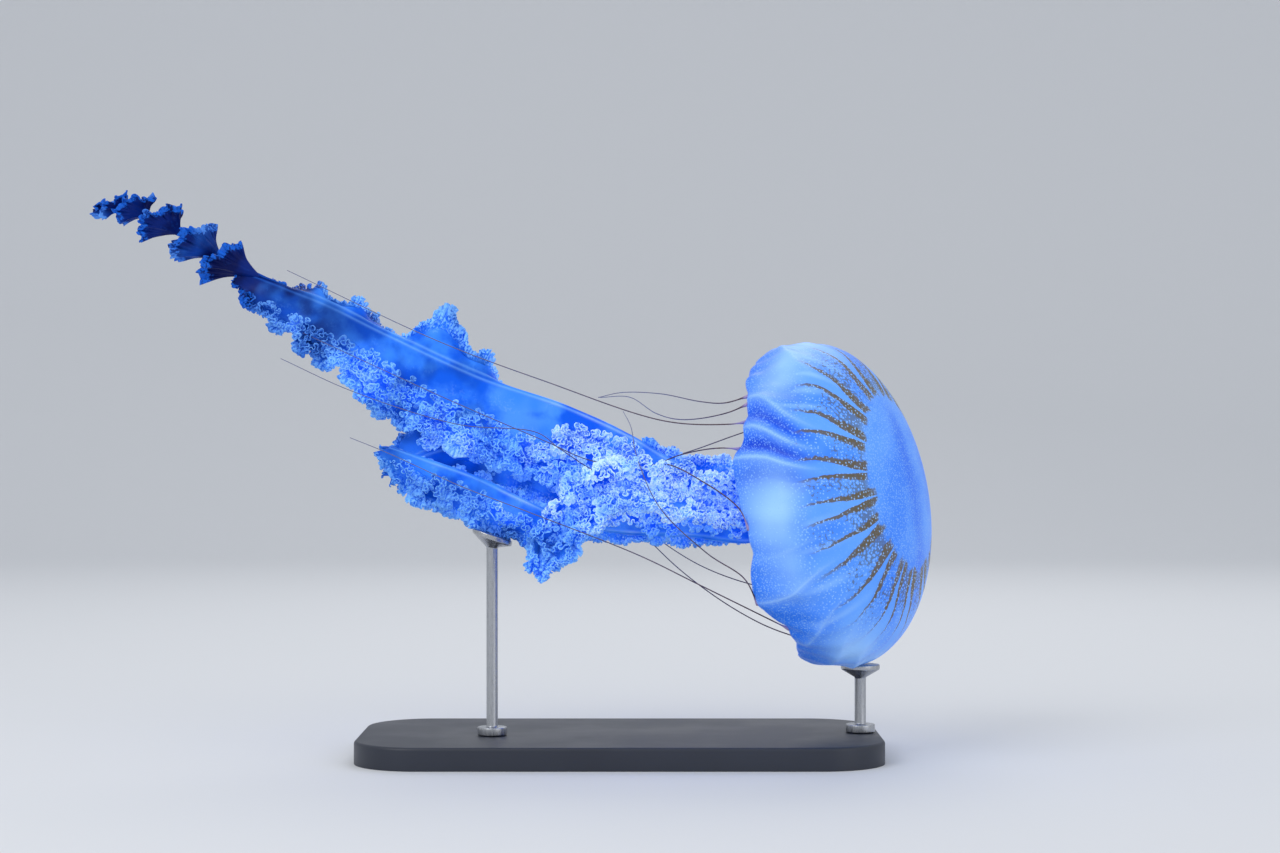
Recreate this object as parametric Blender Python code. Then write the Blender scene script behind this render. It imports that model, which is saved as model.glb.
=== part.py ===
"""A sea nettle jellyfish, life size, swimming to the right on a plain display stand.

Metres, +Z up. The origin is the centre of the stand's underside. The bell's crown points along +X,
a little up and towards -Y, and the oral arms and tentacles trail away along -X and rise.
The near side of the animal is its -Y side, and the far side its +Y side.
"""

import math

import bmesh
import bpy
from mathutils import Vector

MM = 0.001
GAP = 0.3 * MM  # left between two pieces that touch

# The bell: half an ellipsoid over a short skirt that draws in to the rim.
BELL_CENTRE = Vector((129, 0, 155.5)) * MM  # the middle of its widest ring
BELL_PITCH = math.radians(11)  # how far the crown points up
BELL_YAW = math.radians(20)  # how far the crown turns to the near side
BELL_RADIUS = 101 * MM
DOME_HEIGHT = 58 * MM  # from the widest ring to the crown
SKIRT_DEPTH = 20 * MM  # from the widest ring to the rim's notches
SKIRT_CUT = 8 * MM  # where the margin is parted from the dome
RIM_RADIUS = 92 * MM
CROWN_THICKNESS = 8 * MM
WAIST_THICKNESS = 4 * MM
RIM_THICKNESS = 2 * MM
LAPPETS = 32
LAPPET_LENGTH = 5 * MM
FOLDS = 16
FOLD_DEPTH = 3 * MM
BELL_SEGMENTS = 64
INNER_POLARS = (0, 20, 42, 62, 80)  # the rings of the inner face, in degrees from the crown
OUTER_POLARS = (90, 75, 60, 45, 30, 15, 0)

# The manubrium: the mouth stalk that hangs from the middle of the bell.
MOUTH_DEPTH = 25 * MM  # how far its end lies below the widest ring
MOUTH_RADIUS = 19 * MM
STALK_RADIUS = 17 * MM
STALK_ROOT_RADIUS = 32 * MM
STALK_LOBE = 0.10  # how far its four lobes swell, as a share of the radius
STALK_SEGMENTS = 24
ARM_OFFSET = 13 * MM  # from the mouth's middle to each arm's rib
ROOT_LENGTH = 9 * MM  # how far an arm leaves the mouth square to it

# The oral arms: a rib with two ruffled wings.
RIB_HALF = 2.2 * MM
WEB_HALF = 0.9 * MM  # half the thickness of a wing near its rib
FRILL_HALF = 2.8 * MM  # half the thickness of its frilled margin
RUFFLE_HEIGHT = 4.5 * MM
RUFFLE_LENGTH = 28 * MM
FULL_WING = 30 * MM  # a narrower wing is thinner and less ruffled in proportion
STATION = 7 * MM  # along an arm, from one cross-section to the next
TAIL_STATION = 5.5 * MM
ACROSS = (1.0, 0.68, 0.34)  # where a cross-section has its points, as shares of a wing

# The tentacles.
TENTACLE_RADIUS = 0.6 * MM
TENTACLE_STEP = 15 * MM
ROOT_CLEARANCE = 1.5 * MM

# The stand.
BASE_LENGTH = 320 * MM
BASE_WIDTH = 150 * MM
BASE_THICKNESS = 14 * MM
BASE_CORNER = 40 * MM
BASE_CHAMFER = 2 * MM
ROD_RADIUS = 3.5 * MM
COLLAR_RADIUS = 9 * MM
COLLAR_HEIGHT = 5 * MM
PAD_RADIUS = 12 * MM
PAD_THICKNESS = 3 * MM
ROD_SEGMENTS = 16
ARM_ROD_X = -78 * MM
ARM_PAD_SLOPE = -0.35  # how far its pad rises for each metre towards +X


# ---------------------------------------------------------------- shared tools


def material(name, colour, roughness, metallic=0.0):
    """A Principled material of one colour."""
    made = bpy.data.materials.new(name)
    made.use_nodes = True
    shader = made.node_tree.nodes["Principled BSDF"]
    shader.inputs["Base Color"].default_value = (*colour, 1)
    shader.inputs["Roughness"].default_value = roughness
    shader.inputs["Metallic"].default_value = metallic
    return made


def add_object(name, data, finish):
    """An object of this mesh or curve in the scene, with its material."""
    made = bpy.data.objects.new(name, data)
    data.materials.append(finish)
    bpy.context.scene.collection.objects.link(made)
    return made


def add_mesh(name, bm, finish, sharp_angle=50):
    """The finished bmesh as an object, faces outwards and shaded smooth."""
    bmesh.ops.recalc_face_normals(bm, faces=bm.faces)
    mesh = bpy.data.meshes.new(name)
    bm.to_mesh(mesh)
    bm.free()
    mesh.shade_smooth()
    mesh.set_sharp_from_angle(angle=math.radians(sharp_angle))
    return add_object(name, mesh, finish)


def next_ring(bm, ring):
    """Extrudes a closed ring of vertices and returns the new ring in the same order."""
    count = len(ring)
    edges = [bm.edges.get((ring[i], ring[(i + 1) % count])) for i in range(count)]
    made = bmesh.ops.extrude_edge_only(bm, edges=edges)["geom"]
    fresh = {v for v in made if isinstance(v, bmesh.types.BMVert)}
    return [
        next(e.other_vert(v) for e in v.link_edges if e.other_vert(v) in fresh)
        for v in ring
    ]


def loft(rings):
    """A bmesh skin over these rings of points, and its rings of vertices, with both ends open."""
    bm = bmesh.new()
    ring = bmesh.ops.create_circle(bm, segments=len(rings[0]), radius=1)["verts"]
    made = []
    for points in rings:
        if made:
            ring = next_ring(bm, ring)
        for vert, point in zip(ring, points):
            vert.co = point
        made.append(ring)
    return bm, made


def smooth_step(value, start, end):
    """0 before start, 1 after end and a smooth rise between."""
    share = min(1.0, max(0.0, (value - start) / (end - start)))
    return share * share * (3 - 2 * share)


def ramp(share, stops):
    """The value at this share of a length, eased between (share, value) stops."""
    for (start, low), (end, high) in zip(stops, stops[1:]):
        if share <= end:
            return low + (high - low) * smooth_step(share, start, end)
    return stops[-1][1]


class Route:
    """A smooth curve through a few points, read by length along it."""

    FINE = 24  # samples between two given points

    def __init__(self, points):
        held = [2 * points[0] - points[1], *points, 2 * points[-1] - points[-2]]
        self.samples = []
        for before, start, end, after in zip(held, held[1:], held[2:], held[3:]):
            for i in range(self.FINE):
                self.samples.append(between(before, start, end, after, i / self.FINE))
        self.samples.append(points[-1])
        self.marks = [0.0]
        for start, end in zip(self.samples, self.samples[1:]):
            self.marks.append(self.marks[-1] + (end - start).length)
        self.length = self.marks[-1]

    def at(self, distance):
        """The point this far along."""
        distance = min(max(distance, 0.0), self.length)
        i = 1
        while i < len(self.marks) - 1 and self.marks[i] < distance:
            i += 1
        share = (distance - self.marks[i - 1]) / (self.marks[i] - self.marks[i - 1])
        return self.samples[i - 1].lerp(self.samples[i], share)

    def heading(self, distance):
        """The direction of travel there."""
        reach = self.length / len(self.samples)
        return (self.at(distance + reach) - self.at(distance - reach)).normalized()


def between(before, start, end, after, t):
    """A point on the centripetal Catmull-Rom curve from start to end."""
    first = (start - before).length ** 0.5
    second = first + (end - start).length ** 0.5
    third = second + (after - end).length ** 0.5
    knot = first + (second - first) * t
    start_side = before.lerp(start, knot / first)
    middle = start.lerp(end, t)
    end_side = end.lerp(after, (knot - second) / (third - second))
    low = start_side.lerp(middle, knot / second)
    high = middle.lerp(end_side, (knot - first) / (third - first))
    return low.lerp(high, t)


# ---------------------------------------------------------------- the bell

CROWN_AXIS = Vector(
    (
        math.cos(BELL_YAW) * math.cos(BELL_PITCH),
        -math.sin(BELL_YAW),
        math.cos(BELL_YAW) * math.sin(BELL_PITCH),
    )
)
TOP_AXIS = Vector((-math.sin(BELL_PITCH), 0, math.cos(BELL_PITCH)))
NEAR_AXIS = CROWN_AXIS.cross(TOP_AXIS)


def from_bell(radius, azimuth, height):
    """A world point from the bell's own polar place. Azimuth 0 is near, and 90 degrees is below."""
    across = NEAR_AXIS * math.cos(azimuth) - TOP_AXIS * math.sin(azimuth)
    return BELL_CENTRE + across * radius + CROWN_AXIS * height


def bell_outline(polar, depth):
    """(radius, height, outward radius share, outward height share) on the outer surface.

    polar runs from 0 at the crown to 90 degrees at the widest ring, and depth is how far
    below that ring a skirt point lies.
    """
    if depth <= 0:
        slope = Vector((DOME_HEIGHT * math.sin(polar), BELL_RADIUS * math.cos(polar)))
        out = slope.normalized()
        return BELL_RADIUS * math.sin(polar), DOME_HEIGHT * math.cos(polar), *out
    share = depth / SKIRT_DEPTH
    return BELL_RADIUS - (BELL_RADIUS - RIM_RADIUS) * share**1.6, -depth, 1.0, 0.0


def bell_thickness(polar, depth):
    if depth <= 0:
        eased = smooth_step(polar, 0, math.pi / 2)
        return CROWN_THICKNESS + (WAIST_THICKNESS - CROWN_THICKNESS) * eased
    share = min(1.0, depth / SKIRT_DEPTH)
    return WAIST_THICKNESS + (RIM_THICKNESS - WAIST_THICKNESS) * share


def bell_ring(polar, depth, inset, at_rim=False):
    """One ring of the bell's wall, inset by a share of its thickness."""
    radius, height, out_radius, out_height = bell_outline(polar, depth)
    thickness = bell_thickness(polar, depth) * inset
    pull = smooth_step(polar, math.radians(50), math.pi / 2)
    ring = []
    for i in range(BELL_SEGMENTS):
        azimuth = 2 * math.pi * i / BELL_SEGMENTS
        fold = FOLD_DEPTH * pull * (0.5 - 0.5 * math.cos(FOLDS * azimuth))
        drop = LAPPET_LENGTH * abs(math.sin(LAPPETS * azimuth / 2)) if at_rim else 0.0
        ring.append(
            from_bell(
                radius - thickness * out_radius - fold,
                azimuth,
                height - thickness * out_height - drop,
            )
        )
    return ring


def make_bell(finish):
    """The dome, a thick shell from the crown down to the cut above the margin."""
    quarter = math.pi / 2
    rings = [bell_ring(math.radians(polar), 0, 1) for polar in INNER_POLARS]
    rings.append(bell_ring(quarter, SKIRT_CUT, 1))
    rings.append(bell_ring(quarter, SKIRT_CUT, 0))
    rings += [bell_ring(math.radians(polar), 0, 0) for polar in OUTER_POLARS]
    bm, made = loft(rings)
    for ring in (made[0], made[-1]):
        bmesh.ops.pointmerge(bm, verts=ring, merge_co=ring[0].co)
    add_mesh("bell", bm, finish)


def make_bell_margin(finish):
    """The skirt's lower band with its lappets, a ring of its own below a thin cut."""
    quarter = math.pi / 2
    start = SKIRT_CUT + GAP
    middle = (SKIRT_CUT + SKIRT_DEPTH) / 2
    outer = [bell_ring(quarter, start, 0), bell_ring(quarter, middle, 0)]
    outer.append(bell_ring(quarter, SKIRT_DEPTH, 0, at_rim=True))
    inner = [bell_ring(quarter, SKIRT_DEPTH, 1, at_rim=True)]
    inner += [bell_ring(quarter, middle, 1), bell_ring(quarter, start, 1)]
    bm, made = loft(outer + inner)
    ends = [
        bm.edges.get((ring[i - 1], ring[i]))
        for ring in (made[0], made[-1])
        for i in range(BELL_SEGMENTS)
    ]
    bmesh.ops.bridge_loops(bm, edges=ends)
    add_mesh("bell_margin", bm, finish)


def roof_height(radius):
    """How far along the crown axis the stalk may reach at this radius, under the dome's inner face."""
    peak, edge = (bell_ring(math.radians(polar), 0, 1)[0] for polar in INNER_POLARS[:2])
    peak_height = (peak - BELL_CENTRE).dot(CROWN_AXIS)
    drop = peak_height - (edge - BELL_CENTRE).dot(CROWN_AXIS)
    reach = (edge - BELL_CENTRE - CROWN_AXIS * (peak_height - drop)).length
    return peak_height - drop * radius / reach - GAP


def make_manubrium(finish):
    """The four-lobed mouth stalk, from the dome's inner face to the mouth."""
    shoulder = roof_height(STALK_ROOT_RADIUS)
    profile = [
        (6 * MM, roof_height(6 * MM)),
        (18 * MM, roof_height(18 * MM)),
        (STALK_ROOT_RADIUS, shoulder),
        (STALK_ROOT_RADIUS, shoulder - 2.5 * MM),
        (STALK_RADIUS * 1.3, shoulder - 9 * MM),
        (STALK_RADIUS, shoulder - 22 * MM),
        (STALK_RADIUS, -MOUTH_DEPTH + 18 * MM),
        (MOUTH_RADIUS, -MOUTH_DEPTH + 3 * MM),
        (MOUTH_RADIUS * 0.9, -MOUTH_DEPTH),
    ]
    rings = []
    for radius, height in profile:
        lobe = STALK_LOBE if height < shoulder - 5 * MM else 0.0
        ring = []
        for i in range(STALK_SEGMENTS):
            azimuth = 2 * math.pi * i / STALK_SEGMENTS
            swell = 1 + lobe * math.cos(4 * azimuth)
            ring.append(from_bell(radius * swell, azimuth, height))
        rings.append(ring)
    bm, made = loft(rings)
    bmesh.ops.contextual_create(bm, geom=made[0])
    bmesh.ops.contextual_create(bm, geom=made[-1])
    add_mesh("manubrium", bm, finish)


# ---------------------------------------------------------------- the oral arms


class Arm:
    """One oral arm: its rib's route and, along it, how each wing turns and how wide it is.

    A wing's turn is in degrees about the rib: 0 hangs down, 90 faces the near side, 180 stands
    up and -90 faces the far side. Widths are in millimetres, and every stop is (share of the
    arm's length, value).
    """

    def __init__(self, name, phase, root, route, turns, widths, lengths, tail=None):
        self.name = name
        self.phase = phase  # of the first wing's ruffle
        straight = root - CROWN_AXIS * ROOT_LENGTH
        self.route = Route([root, straight, *(Vector(point) * MM for point in route)])
        self.turns = turns
        self.widths = widths
        self.lengths = lengths  # how many pieces it is parted into
        self.tail = tail  # where a twisted tail starts, and its number of turns

    def wing(self, side, share):
        """(turn in radians, width, sweep towards the tip in radians) of a wing there."""
        turn = ramp(share, self.turns[side])
        width = ramp(share, self.widths[side]) * MM
        sweep = 0.0
        if self.tail:
            start, rounds = self.tail
            along = max(0.0, (share - start) / (1 - start))
            turn += 360 * rounds * along
            sweep = math.radians(44) * smooth_step(share, start - 0.06, start + 0.05)
        return math.radians(turn), width, sweep

    def section(self, distance):
        """The closed outline of the arm at this distance: its outer side, then its inner side."""
        share = distance / self.route.length
        centre = self.route.at(distance)
        ahead = self.route.heading(distance)
        near = (Vector((0, -1, 0)) + ahead * ahead.y).normalized()
        below = near.cross(ahead)
        sides = []
        for side in (0, 1):
            turn, width, sweep = self.wing(side, share)
            reach = below * math.cos(turn) + near * math.sin(turn)
            face = near * math.cos(turn) - below * math.sin(turn)
            fullness = min(1.0, max(0.3, width / FULL_WING))
            along = 2 * math.pi * distance / RUFFLE_LENGTH + self.phase + 2.1 * side
            points = []
            for v in ACROSS:
                wave = RUFFLE_HEIGHT * fullness * v * v * math.sin(along)
                half = WEB_HALF + (FRILL_HALF - WEB_HALF) * fullness * v**3
                slant = reach * math.cos(sweep) + ahead * math.sin(sweep)
                middle = centre + slant * width * v + face * wave
                points.append((middle + face * half, middle - face * half))
            sides.append((turn, points))
        (turn_a, wing_a), (turn_b, wing_b) = sides
        middle = (turn_a + turn_b) / 2
        groove = below * math.cos(middle) + near * math.sin(middle)
        width = min(self.wing(0, share)[1], self.wing(1, share)[1])
        rib = RIB_HALF * min(1.0, 0.45 + width / FULL_WING)
        outer = [p[0] for p in wing_a]
        outer += [centre - groove * rib]
        outer += [p[1] for p in reversed(wing_b)]
        inner = [p[1] for p in wing_a]
        inner += [centre + groove * rib * 0.6]
        inner += [p[0] for p in reversed(wing_b)]
        return outer + inner[::-1]

    def make(self, finish):
        """The arm's lengths, each a closed solid, end to end with a thin gap."""
        for i in range(self.lengths):
            start = self.route.length * i / self.lengths + GAP
            end = self.route.length * (i + 1) / self.lengths
            step = TAIL_STATION if self.tail and i == self.lengths - 1 else STATION
            count = round((end - start) / step)
            rings = [
                self.section(start + (end - start) * k / count)
                for k in range(count + 1)
            ]
            bm, made = loft(rings)
            for ring in (made[0], made[-1]):
                half = len(ring) // 2
                for k in range(half - 1):
                    quad = (ring[k], ring[k + 1], ring[-2 - k], ring[-1 - k])
                    bmesh.ops.contextual_create(bm, geom=quad)
            add_mesh(f"{self.name}_{i + 1}", bm, finish)


def mouth_point(up, near):
    """A point just past the mouth's face, this far up and to the near side of its middle."""
    centre = BELL_CENTRE - CROWN_AXIS * (MOUTH_DEPTH + GAP)
    return centre + TOP_AXIS * up + NEAR_AXIS * near


def oral_arms():
    """The four arms: the long one leaves the mouth's top, and the others its foot and two sides."""
    top = Arm(
        "arm_top",
        phase=0.0,
        root=mouth_point(ARM_OFFSET, 0),
        route=[
            (50, 14, 173),
            (29, 16, 184),
            (7, 16, 197),
            (-32, 12, 215),
            (-84, 9, 233),
            (-139, 4, 258),
            (-184, 1, 280),
            (-225, 0, 296),
            (-247, 0, 307),
            (-272, 0, 322),
            (-292, 0, 333),
            (-307, 0, 338),
            (-325, 0, 336),
        ],
        turns=[
            [(0, 38), (0.12, 8), (0.3, 10), (0.7, 14), (1, 14)],
            [
                (0, -42),
                (0.12, -62),
                (0.4, -75),
                (0.45, -155),
                (0.49, -178),
                (0.53, -172),
                (0.57, -110),
                (0.6, -110),
                (0.63, -155),
                (0.66, -158),
                (0.7, -105),
                (0.72, -105),
                (0.77, -166),
                (1, -166),
            ],
        ],
        widths=[
            [(0, 9), (0.12, 30), (0.3, 47), (0.53, 47), (0.63, 30), (0.73, 15), (0.9, 14), (1, 3)],
            [
                (0, 9),
                (0.2, 15),
                (0.4, 20),
                (0.45, 21),
                (0.51, 32),
                (0.565, 14),
                (0.66, 11),
                (0.7, 6),
                (0.74, 6),
                (0.79, 14),
                (0.9, 13),
                (1, 3),
            ],
        ],
        lengths=4,
        tail=(0.745, 2.8),
    )
    foot = Arm(
        "arm_foot",
        phase=1.3,
        root=mouth_point(-ARM_OFFSET, 0),
        route=[
            (81, 5, 131),
            (43, 0, 135),
            (-5, -4, 138),
            (-33, -6, 146),
            (-61, -8, 159),
            (-88, -9, 172),
            (-116, -9, 182),
            (-140, -8, 190),
        ],
        turns=[
            [(0, 142), (0.12, 168), (0.42, 165), (0.56, 35), (0.7, 15), (1, 8)],
            [(0, -142), (0.15, -105), (0.5, -95), (0.7, -70), (1, -60)],
        ],
        widths=[
            [(0, 9), (0.15, 18), (0.3, 24), (0.45, 20), (0.65, 26), (0.85, 28), (1, 8)],
            [(0, 9), (0.2, 14), (0.6, 20), (0.85, 22), (1, 6)],
        ],
        lengths=3,
    )
    near = Arm(
        "arm_near",
        phase=2.2,
        root=mouth_point(0, ARM_OFFSET),
        route=[
            (80, -16, 154),
            (49, -30, 160),
            (21, -40, 165),
            (2, -46, 167),
            (-12, -49, 164),
            (-22, -50, 155),
            (-32, -49, 143),
            (-40, -47, 133),
            (-46, -44, 122),
        ],
        turns=[
            [(0, 150), (0.3, 140), (0.7, 135), (1, 130)],
            [(0, 35), (0.3, 48), (0.7, 50), (1, 50)],
        ],
        widths=[
            [(0, 9), (0.2, 20), (0.6, 21), (0.88, 21), (1, 8)],
            [(0, 9), (0.2, 18), (0.6, 20), (0.88, 22), (1, 8)],
        ],
        lengths=2,
    )
    far = Arm(
        "arm_far",
        phase=3.9,
        root=mouth_point(0, -ARM_OFFSET),
        route=[
            (82, 32, 155),
            (44, 42, 160),
            (0, 46, 169),
            (-38, 46, 180),
            (-77, 44, 190),
            (-105, 40, 191),
            (-130, 36, 183),
            (-144, 33, 172),
        ],
        turns=[
            [(0, -5), (0.3, -12), (1, -8)],
            [(0, -165), (0.3, -168), (1, -170)],
        ],
        widths=[
            [(0, 9), (0.2, 28), (0.4, 34), (0.6, 28), (0.85, 26), (1, 8)],
            [(0, 9), (0.2, 24), (0.5, 26), (0.85, 24), (1, 8)],
        ],
        lengths=3,
    )
    return [top, foot, near, far]


# ---------------------------------------------------------------- the tentacles

# Azimuth in degrees round the rim, and the route's points in millimetres after the root.
NEAR_TENTACLES = [
    (-54, [(64, -34, 217), (49, -14, 218), (25, 8, 223), (1, 24, 224), (-14, 34, 221)]),
    (-50, [(65, -40, 211), (37, -6, 207), (22, 8, 211), (6, 20, 221), (-13, 32, 221)]),
    (-41, [(64, -62, 204), (27, -50, 206), (-45, -38, 230), (-109, -30, 254), (-203, -17, 298)]),
    (
        -30,
        [
            (60, -68, 190),
            (38, -36, 186),
            (14, -18, 178),
            (-18, -16, 182),
            (-46, -20, 194),
            (-102, -20, 218),
            (-194, -14, 260),
        ],
    ),
    (
        2,
        [
            (70, -80, 155),
            (48, -68, 171),
            (29, -54, 180),
            (14, -32, 176),
            (-8, -24, 173),
            (-36, -26, 189),
            (-50, -28, 199),
            (-98, -28, 204),
            (-162, -26, 224),
            (-206, -24, 244),
        ],
    ),
    (31, [(73, -76, 114), (52, -74, 128), (24, -72, 155), (11, -62, 183), (7, -36, 202), (2, -8, 212)]),
    (
        47,
        [
            (47, -78, 110),
            (12, -76, 127),
            (-52, -74, 152),
            (-93, -62, 167),
            (-139, -46, 187),
            (-162, -40, 196),
        ],
    ),
]
FAR_AZIMUTHS = (100, 135, 170, -140)
FAR_TRAIL = 230 * MM
FAR_DEPTH = 88 * MM  # how far behind the arms they trail
FAR_RISE = 0.36  # metres up for each metre along
FAR_SWAY = 6 * MM


def far_route(azimuth, root):
    """A trailing route behind the arms, drawn in towards them from the rim."""
    points = []
    for k in range(1, 6):
        share = k / 5
        drawn = smooth_step(share, 0, 0.9)
        height = 0.15 + 0.045 * math.cos(azimuth)
        x = root.x - FAR_TRAIL * share
        y = root.y + (FAR_DEPTH - root.y) * drawn
        z = root.z + (height + FAR_RISE * FAR_TRAIL * share - root.z) * drawn
        sway = FAR_SWAY * math.sin(azimuth + 4.2 * share)
        points.append(Vector((x, y + sway, z + sway)))
    return points


def make_tentacle(name, azimuth, points, finish):
    """One tentacle in two lengths, each a thin tube through its route's points."""
    notch = from_bell(RIM_RADIUS - RIM_THICKNESS / 2, azimuth, -SKIRT_DEPTH)
    ahead = (points[0] - notch).normalized()
    lowest = LAPPET_LENGTH * abs(math.sin(LAPPETS * azimuth / 2))
    drop = (lowest + ROOT_CLEARANCE) / max(0.3, -ahead.dot(CROWN_AXIS))
    route = Route([notch + ahead * drop, *points])
    for i, part in enumerate(("root", "tip")):
        start = route.length * i / 2 + GAP * i
        end = route.length * (i + 1) / 2
        count = round((end - start) / TENTACLE_STEP)
        curve = bpy.data.curves.new(f"{name}_{part}", "CURVE")
        curve.dimensions = "3D"
        curve.bevel_depth = TENTACLE_RADIUS
        curve.bevel_resolution = 0
        curve.use_fill_caps = True
        spline = curve.splines.new("POLY")
        spline.points.add(count)
        for k, point in enumerate(spline.points):
            point.co = (*route.at(start + (end - start) * k / count), 1)
        add_object(f"{name}_{part}", curve, finish)


def make_tentacles(finish):
    routes = [
        (math.radians(azimuth), [Vector(point) * MM for point in route])
        for azimuth, route in NEAR_TENTACLES
    ]
    for degrees in FAR_AZIMUTHS:
        azimuth = math.radians(degrees)
        root = from_bell(RIM_RADIUS, azimuth, -SKIRT_DEPTH)
        routes.append((azimuth, far_route(azimuth, root)))
    for i, (azimuth, points) in enumerate(routes):
        make_tentacle(f"tentacle_{i + 1:02d}", azimuth, points, finish)


# ---------------------------------------------------------------- the stand


def make_base(finish):
    """A flat plate with rounded corners and a chamfered top edge."""
    bm = bmesh.new()
    bmesh.ops.create_cube(bm, size=1)
    bmesh.ops.scale(bm, vec=(BASE_LENGTH, BASE_WIDTH, BASE_THICKNESS), verts=bm.verts)
    bmesh.ops.translate(bm, vec=(0, 0, BASE_THICKNESS / 2), verts=bm.verts)
    upright = [e for e in bm.edges if abs(e.verts[0].co.z - e.verts[1].co.z) > MM]
    bmesh.ops.bevel(
        bm, geom=upright, offset=BASE_CORNER, segments=8, profile=0.5, affect="EDGES"
    )
    rim = [e for e in bm.edges if min(v.co.z for v in e.verts) > BASE_THICKNESS - MM]
    bmesh.ops.bevel(
        bm, geom=rim, offset=BASE_CHAMFER, segments=1, profile=0.5, affect="EDGES"
    )
    add_mesh("stand_base", bm, finish, sharp_angle=30)


def make_rod(name, x, y, top, slope, finish):
    """A turned rod with a collar at its foot and a round pad, tilted by the slope, at its top."""
    foot = BASE_THICKNESS + GAP
    profile = [
        (COLLAR_RADIUS, foot, 0),
        (COLLAR_RADIUS, foot + COLLAR_HEIGHT, 0),
        (ROD_RADIUS, foot + COLLAR_HEIGHT, 0),
        (ROD_RADIUS, top - PAD_THICKNESS - 5 * MM, slope),
        (PAD_RADIUS, top - PAD_THICKNESS, slope),
        (PAD_RADIUS, top, slope),
    ]
    rings = []
    for radius, height, rise in profile:
        ring = []
        for i in range(ROD_SEGMENTS):
            turn = 2 * math.pi * i / ROD_SEGMENTS
            out = radius * math.cos(turn)
            ring.append(Vector((x + out, y + radius * math.sin(turn), height + rise * out)))
        rings.append(ring)
    bm, made = loft(rings)
    bmesh.ops.contextual_create(bm, geom=made[0])
    bmesh.ops.contextual_create(bm, geom=made[-1])
    add_mesh(name, bm, finish, sharp_angle=30)


def points_over(names, x, y):
    """The vertices that these nodes have above or just beside a pad at this spot."""
    return [
        vert.co
        for name in names
        for vert in bpy.data.objects[name].data.vertices
        if math.hypot(vert.co.x - x, vert.co.y - y) < PAD_RADIUS * 1.4
    ]


def make_stand(base_finish, rod_finish, arms):
    """The base, a rod under the bell's lowest point and a rod under the foot arm."""
    make_base(base_finish)
    low = min(bpy.data.objects["bell"].data.vertices, key=lambda v: v.co.z).co
    top = min(co.z for co in points_over(["bell", "bell_margin"], low.x, low.y))
    make_rod("stand_bell_rod", low.x, low.y, top - GAP, 0, rod_finish)
    foot = next(arm for arm in arms if arm.name == "arm_foot")
    names = [f"{foot.name}_{i + 1}" for i in range(foot.lengths)]
    beside = [
        vert.co
        for name in names
        for vert in bpy.data.objects[name].data.vertices
        if abs(vert.co.x - ARM_ROD_X) < PAD_RADIUS
    ]
    y = min(beside, key=lambda co: co.z).y
    top = min(
        co.z - ARM_PAD_SLOPE * (co.x - ARM_ROD_X)
        for co in points_over(names, ARM_ROD_X, y)
    )
    make_rod("stand_arm_rod", ARM_ROD_X, y, top - GAP, ARM_PAD_SLOPE, rod_finish)


def main():
    for old in list(bpy.data.objects):
        bpy.data.objects.remove(old)
    bell = material("bell_jelly", (0.26, 0.45, 0.86), 0.3)
    frill = material("arm_jelly", (0.3, 0.52, 0.92), 0.35)
    thread = material("tentacle_thread", (0.12, 0.08, 0.09), 0.5)
    plate = material("stand_plate", (0.03, 0.04, 0.07), 0.45)
    steel = material("stand_steel", (0.62, 0.63, 0.65), 0.3, 1.0)
    make_bell(bell)
    make_bell_margin(bell)
    make_manubrium(frill)
    arms = oral_arms()
    for arm in arms:
        arm.make(frill)
    make_tentacles(thread)
    make_stand(plate, steel, arms)


main()
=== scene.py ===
"""A sea nettle jellyfish on its display stand: bell, oral arms, mouth stalk and tentacles."""

import math

import bmesh
import bpy
import numpy as np
from mathutils import Matrix, Vector


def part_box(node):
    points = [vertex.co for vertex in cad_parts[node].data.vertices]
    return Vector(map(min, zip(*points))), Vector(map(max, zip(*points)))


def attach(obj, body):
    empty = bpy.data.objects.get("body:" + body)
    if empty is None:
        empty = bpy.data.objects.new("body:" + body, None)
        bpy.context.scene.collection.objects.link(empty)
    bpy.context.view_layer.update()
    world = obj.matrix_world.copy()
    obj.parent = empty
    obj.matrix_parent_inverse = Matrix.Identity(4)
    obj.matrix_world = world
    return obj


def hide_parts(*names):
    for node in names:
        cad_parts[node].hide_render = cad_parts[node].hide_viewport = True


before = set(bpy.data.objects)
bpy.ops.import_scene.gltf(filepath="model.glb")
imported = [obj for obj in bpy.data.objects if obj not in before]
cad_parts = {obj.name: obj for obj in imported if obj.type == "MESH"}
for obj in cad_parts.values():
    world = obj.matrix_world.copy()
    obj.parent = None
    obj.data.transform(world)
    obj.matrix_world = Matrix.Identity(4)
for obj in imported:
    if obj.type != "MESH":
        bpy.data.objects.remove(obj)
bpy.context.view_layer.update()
MM = 0.001

# ---------------------------------------------------------------- the studio
# A pale sweep of paper, flat under the stand and curved up behind it, in soft light from three
# large lamps. The camera looks level at the animal's near side.
SWEEP_HALF_WIDTH = 4.0
SWEEP_FRONT = 3.0  # how far the paper reaches before the stand
SWEEP_BACK = 2.2  # where it starts to curve up
SWEEP_CURVE = 1.2
SWEEP_HEIGHT = 3.0


def pull(bm, edges, step):
    """Extrudes a row of edges by this step and returns the new row."""
    made = bmesh.ops.extrude_edge_only(bm, edges=edges)["geom"]
    verts = {v for v in made if isinstance(v, bmesh.types.BMVert)}
    bmesh.ops.translate(bm, verts=list(verts), vec=step)
    return [e for e in made if isinstance(e, bmesh.types.BMEdge) and verts.issuperset(e.verts)]


def as_mesh(name, bm):
    """The bmesh as a mesh of this name, and the end of the bmesh."""
    mesh = bpy.data.meshes.new(name)
    bm.to_mesh(mesh)
    bm.free()
    return mesh


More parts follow.
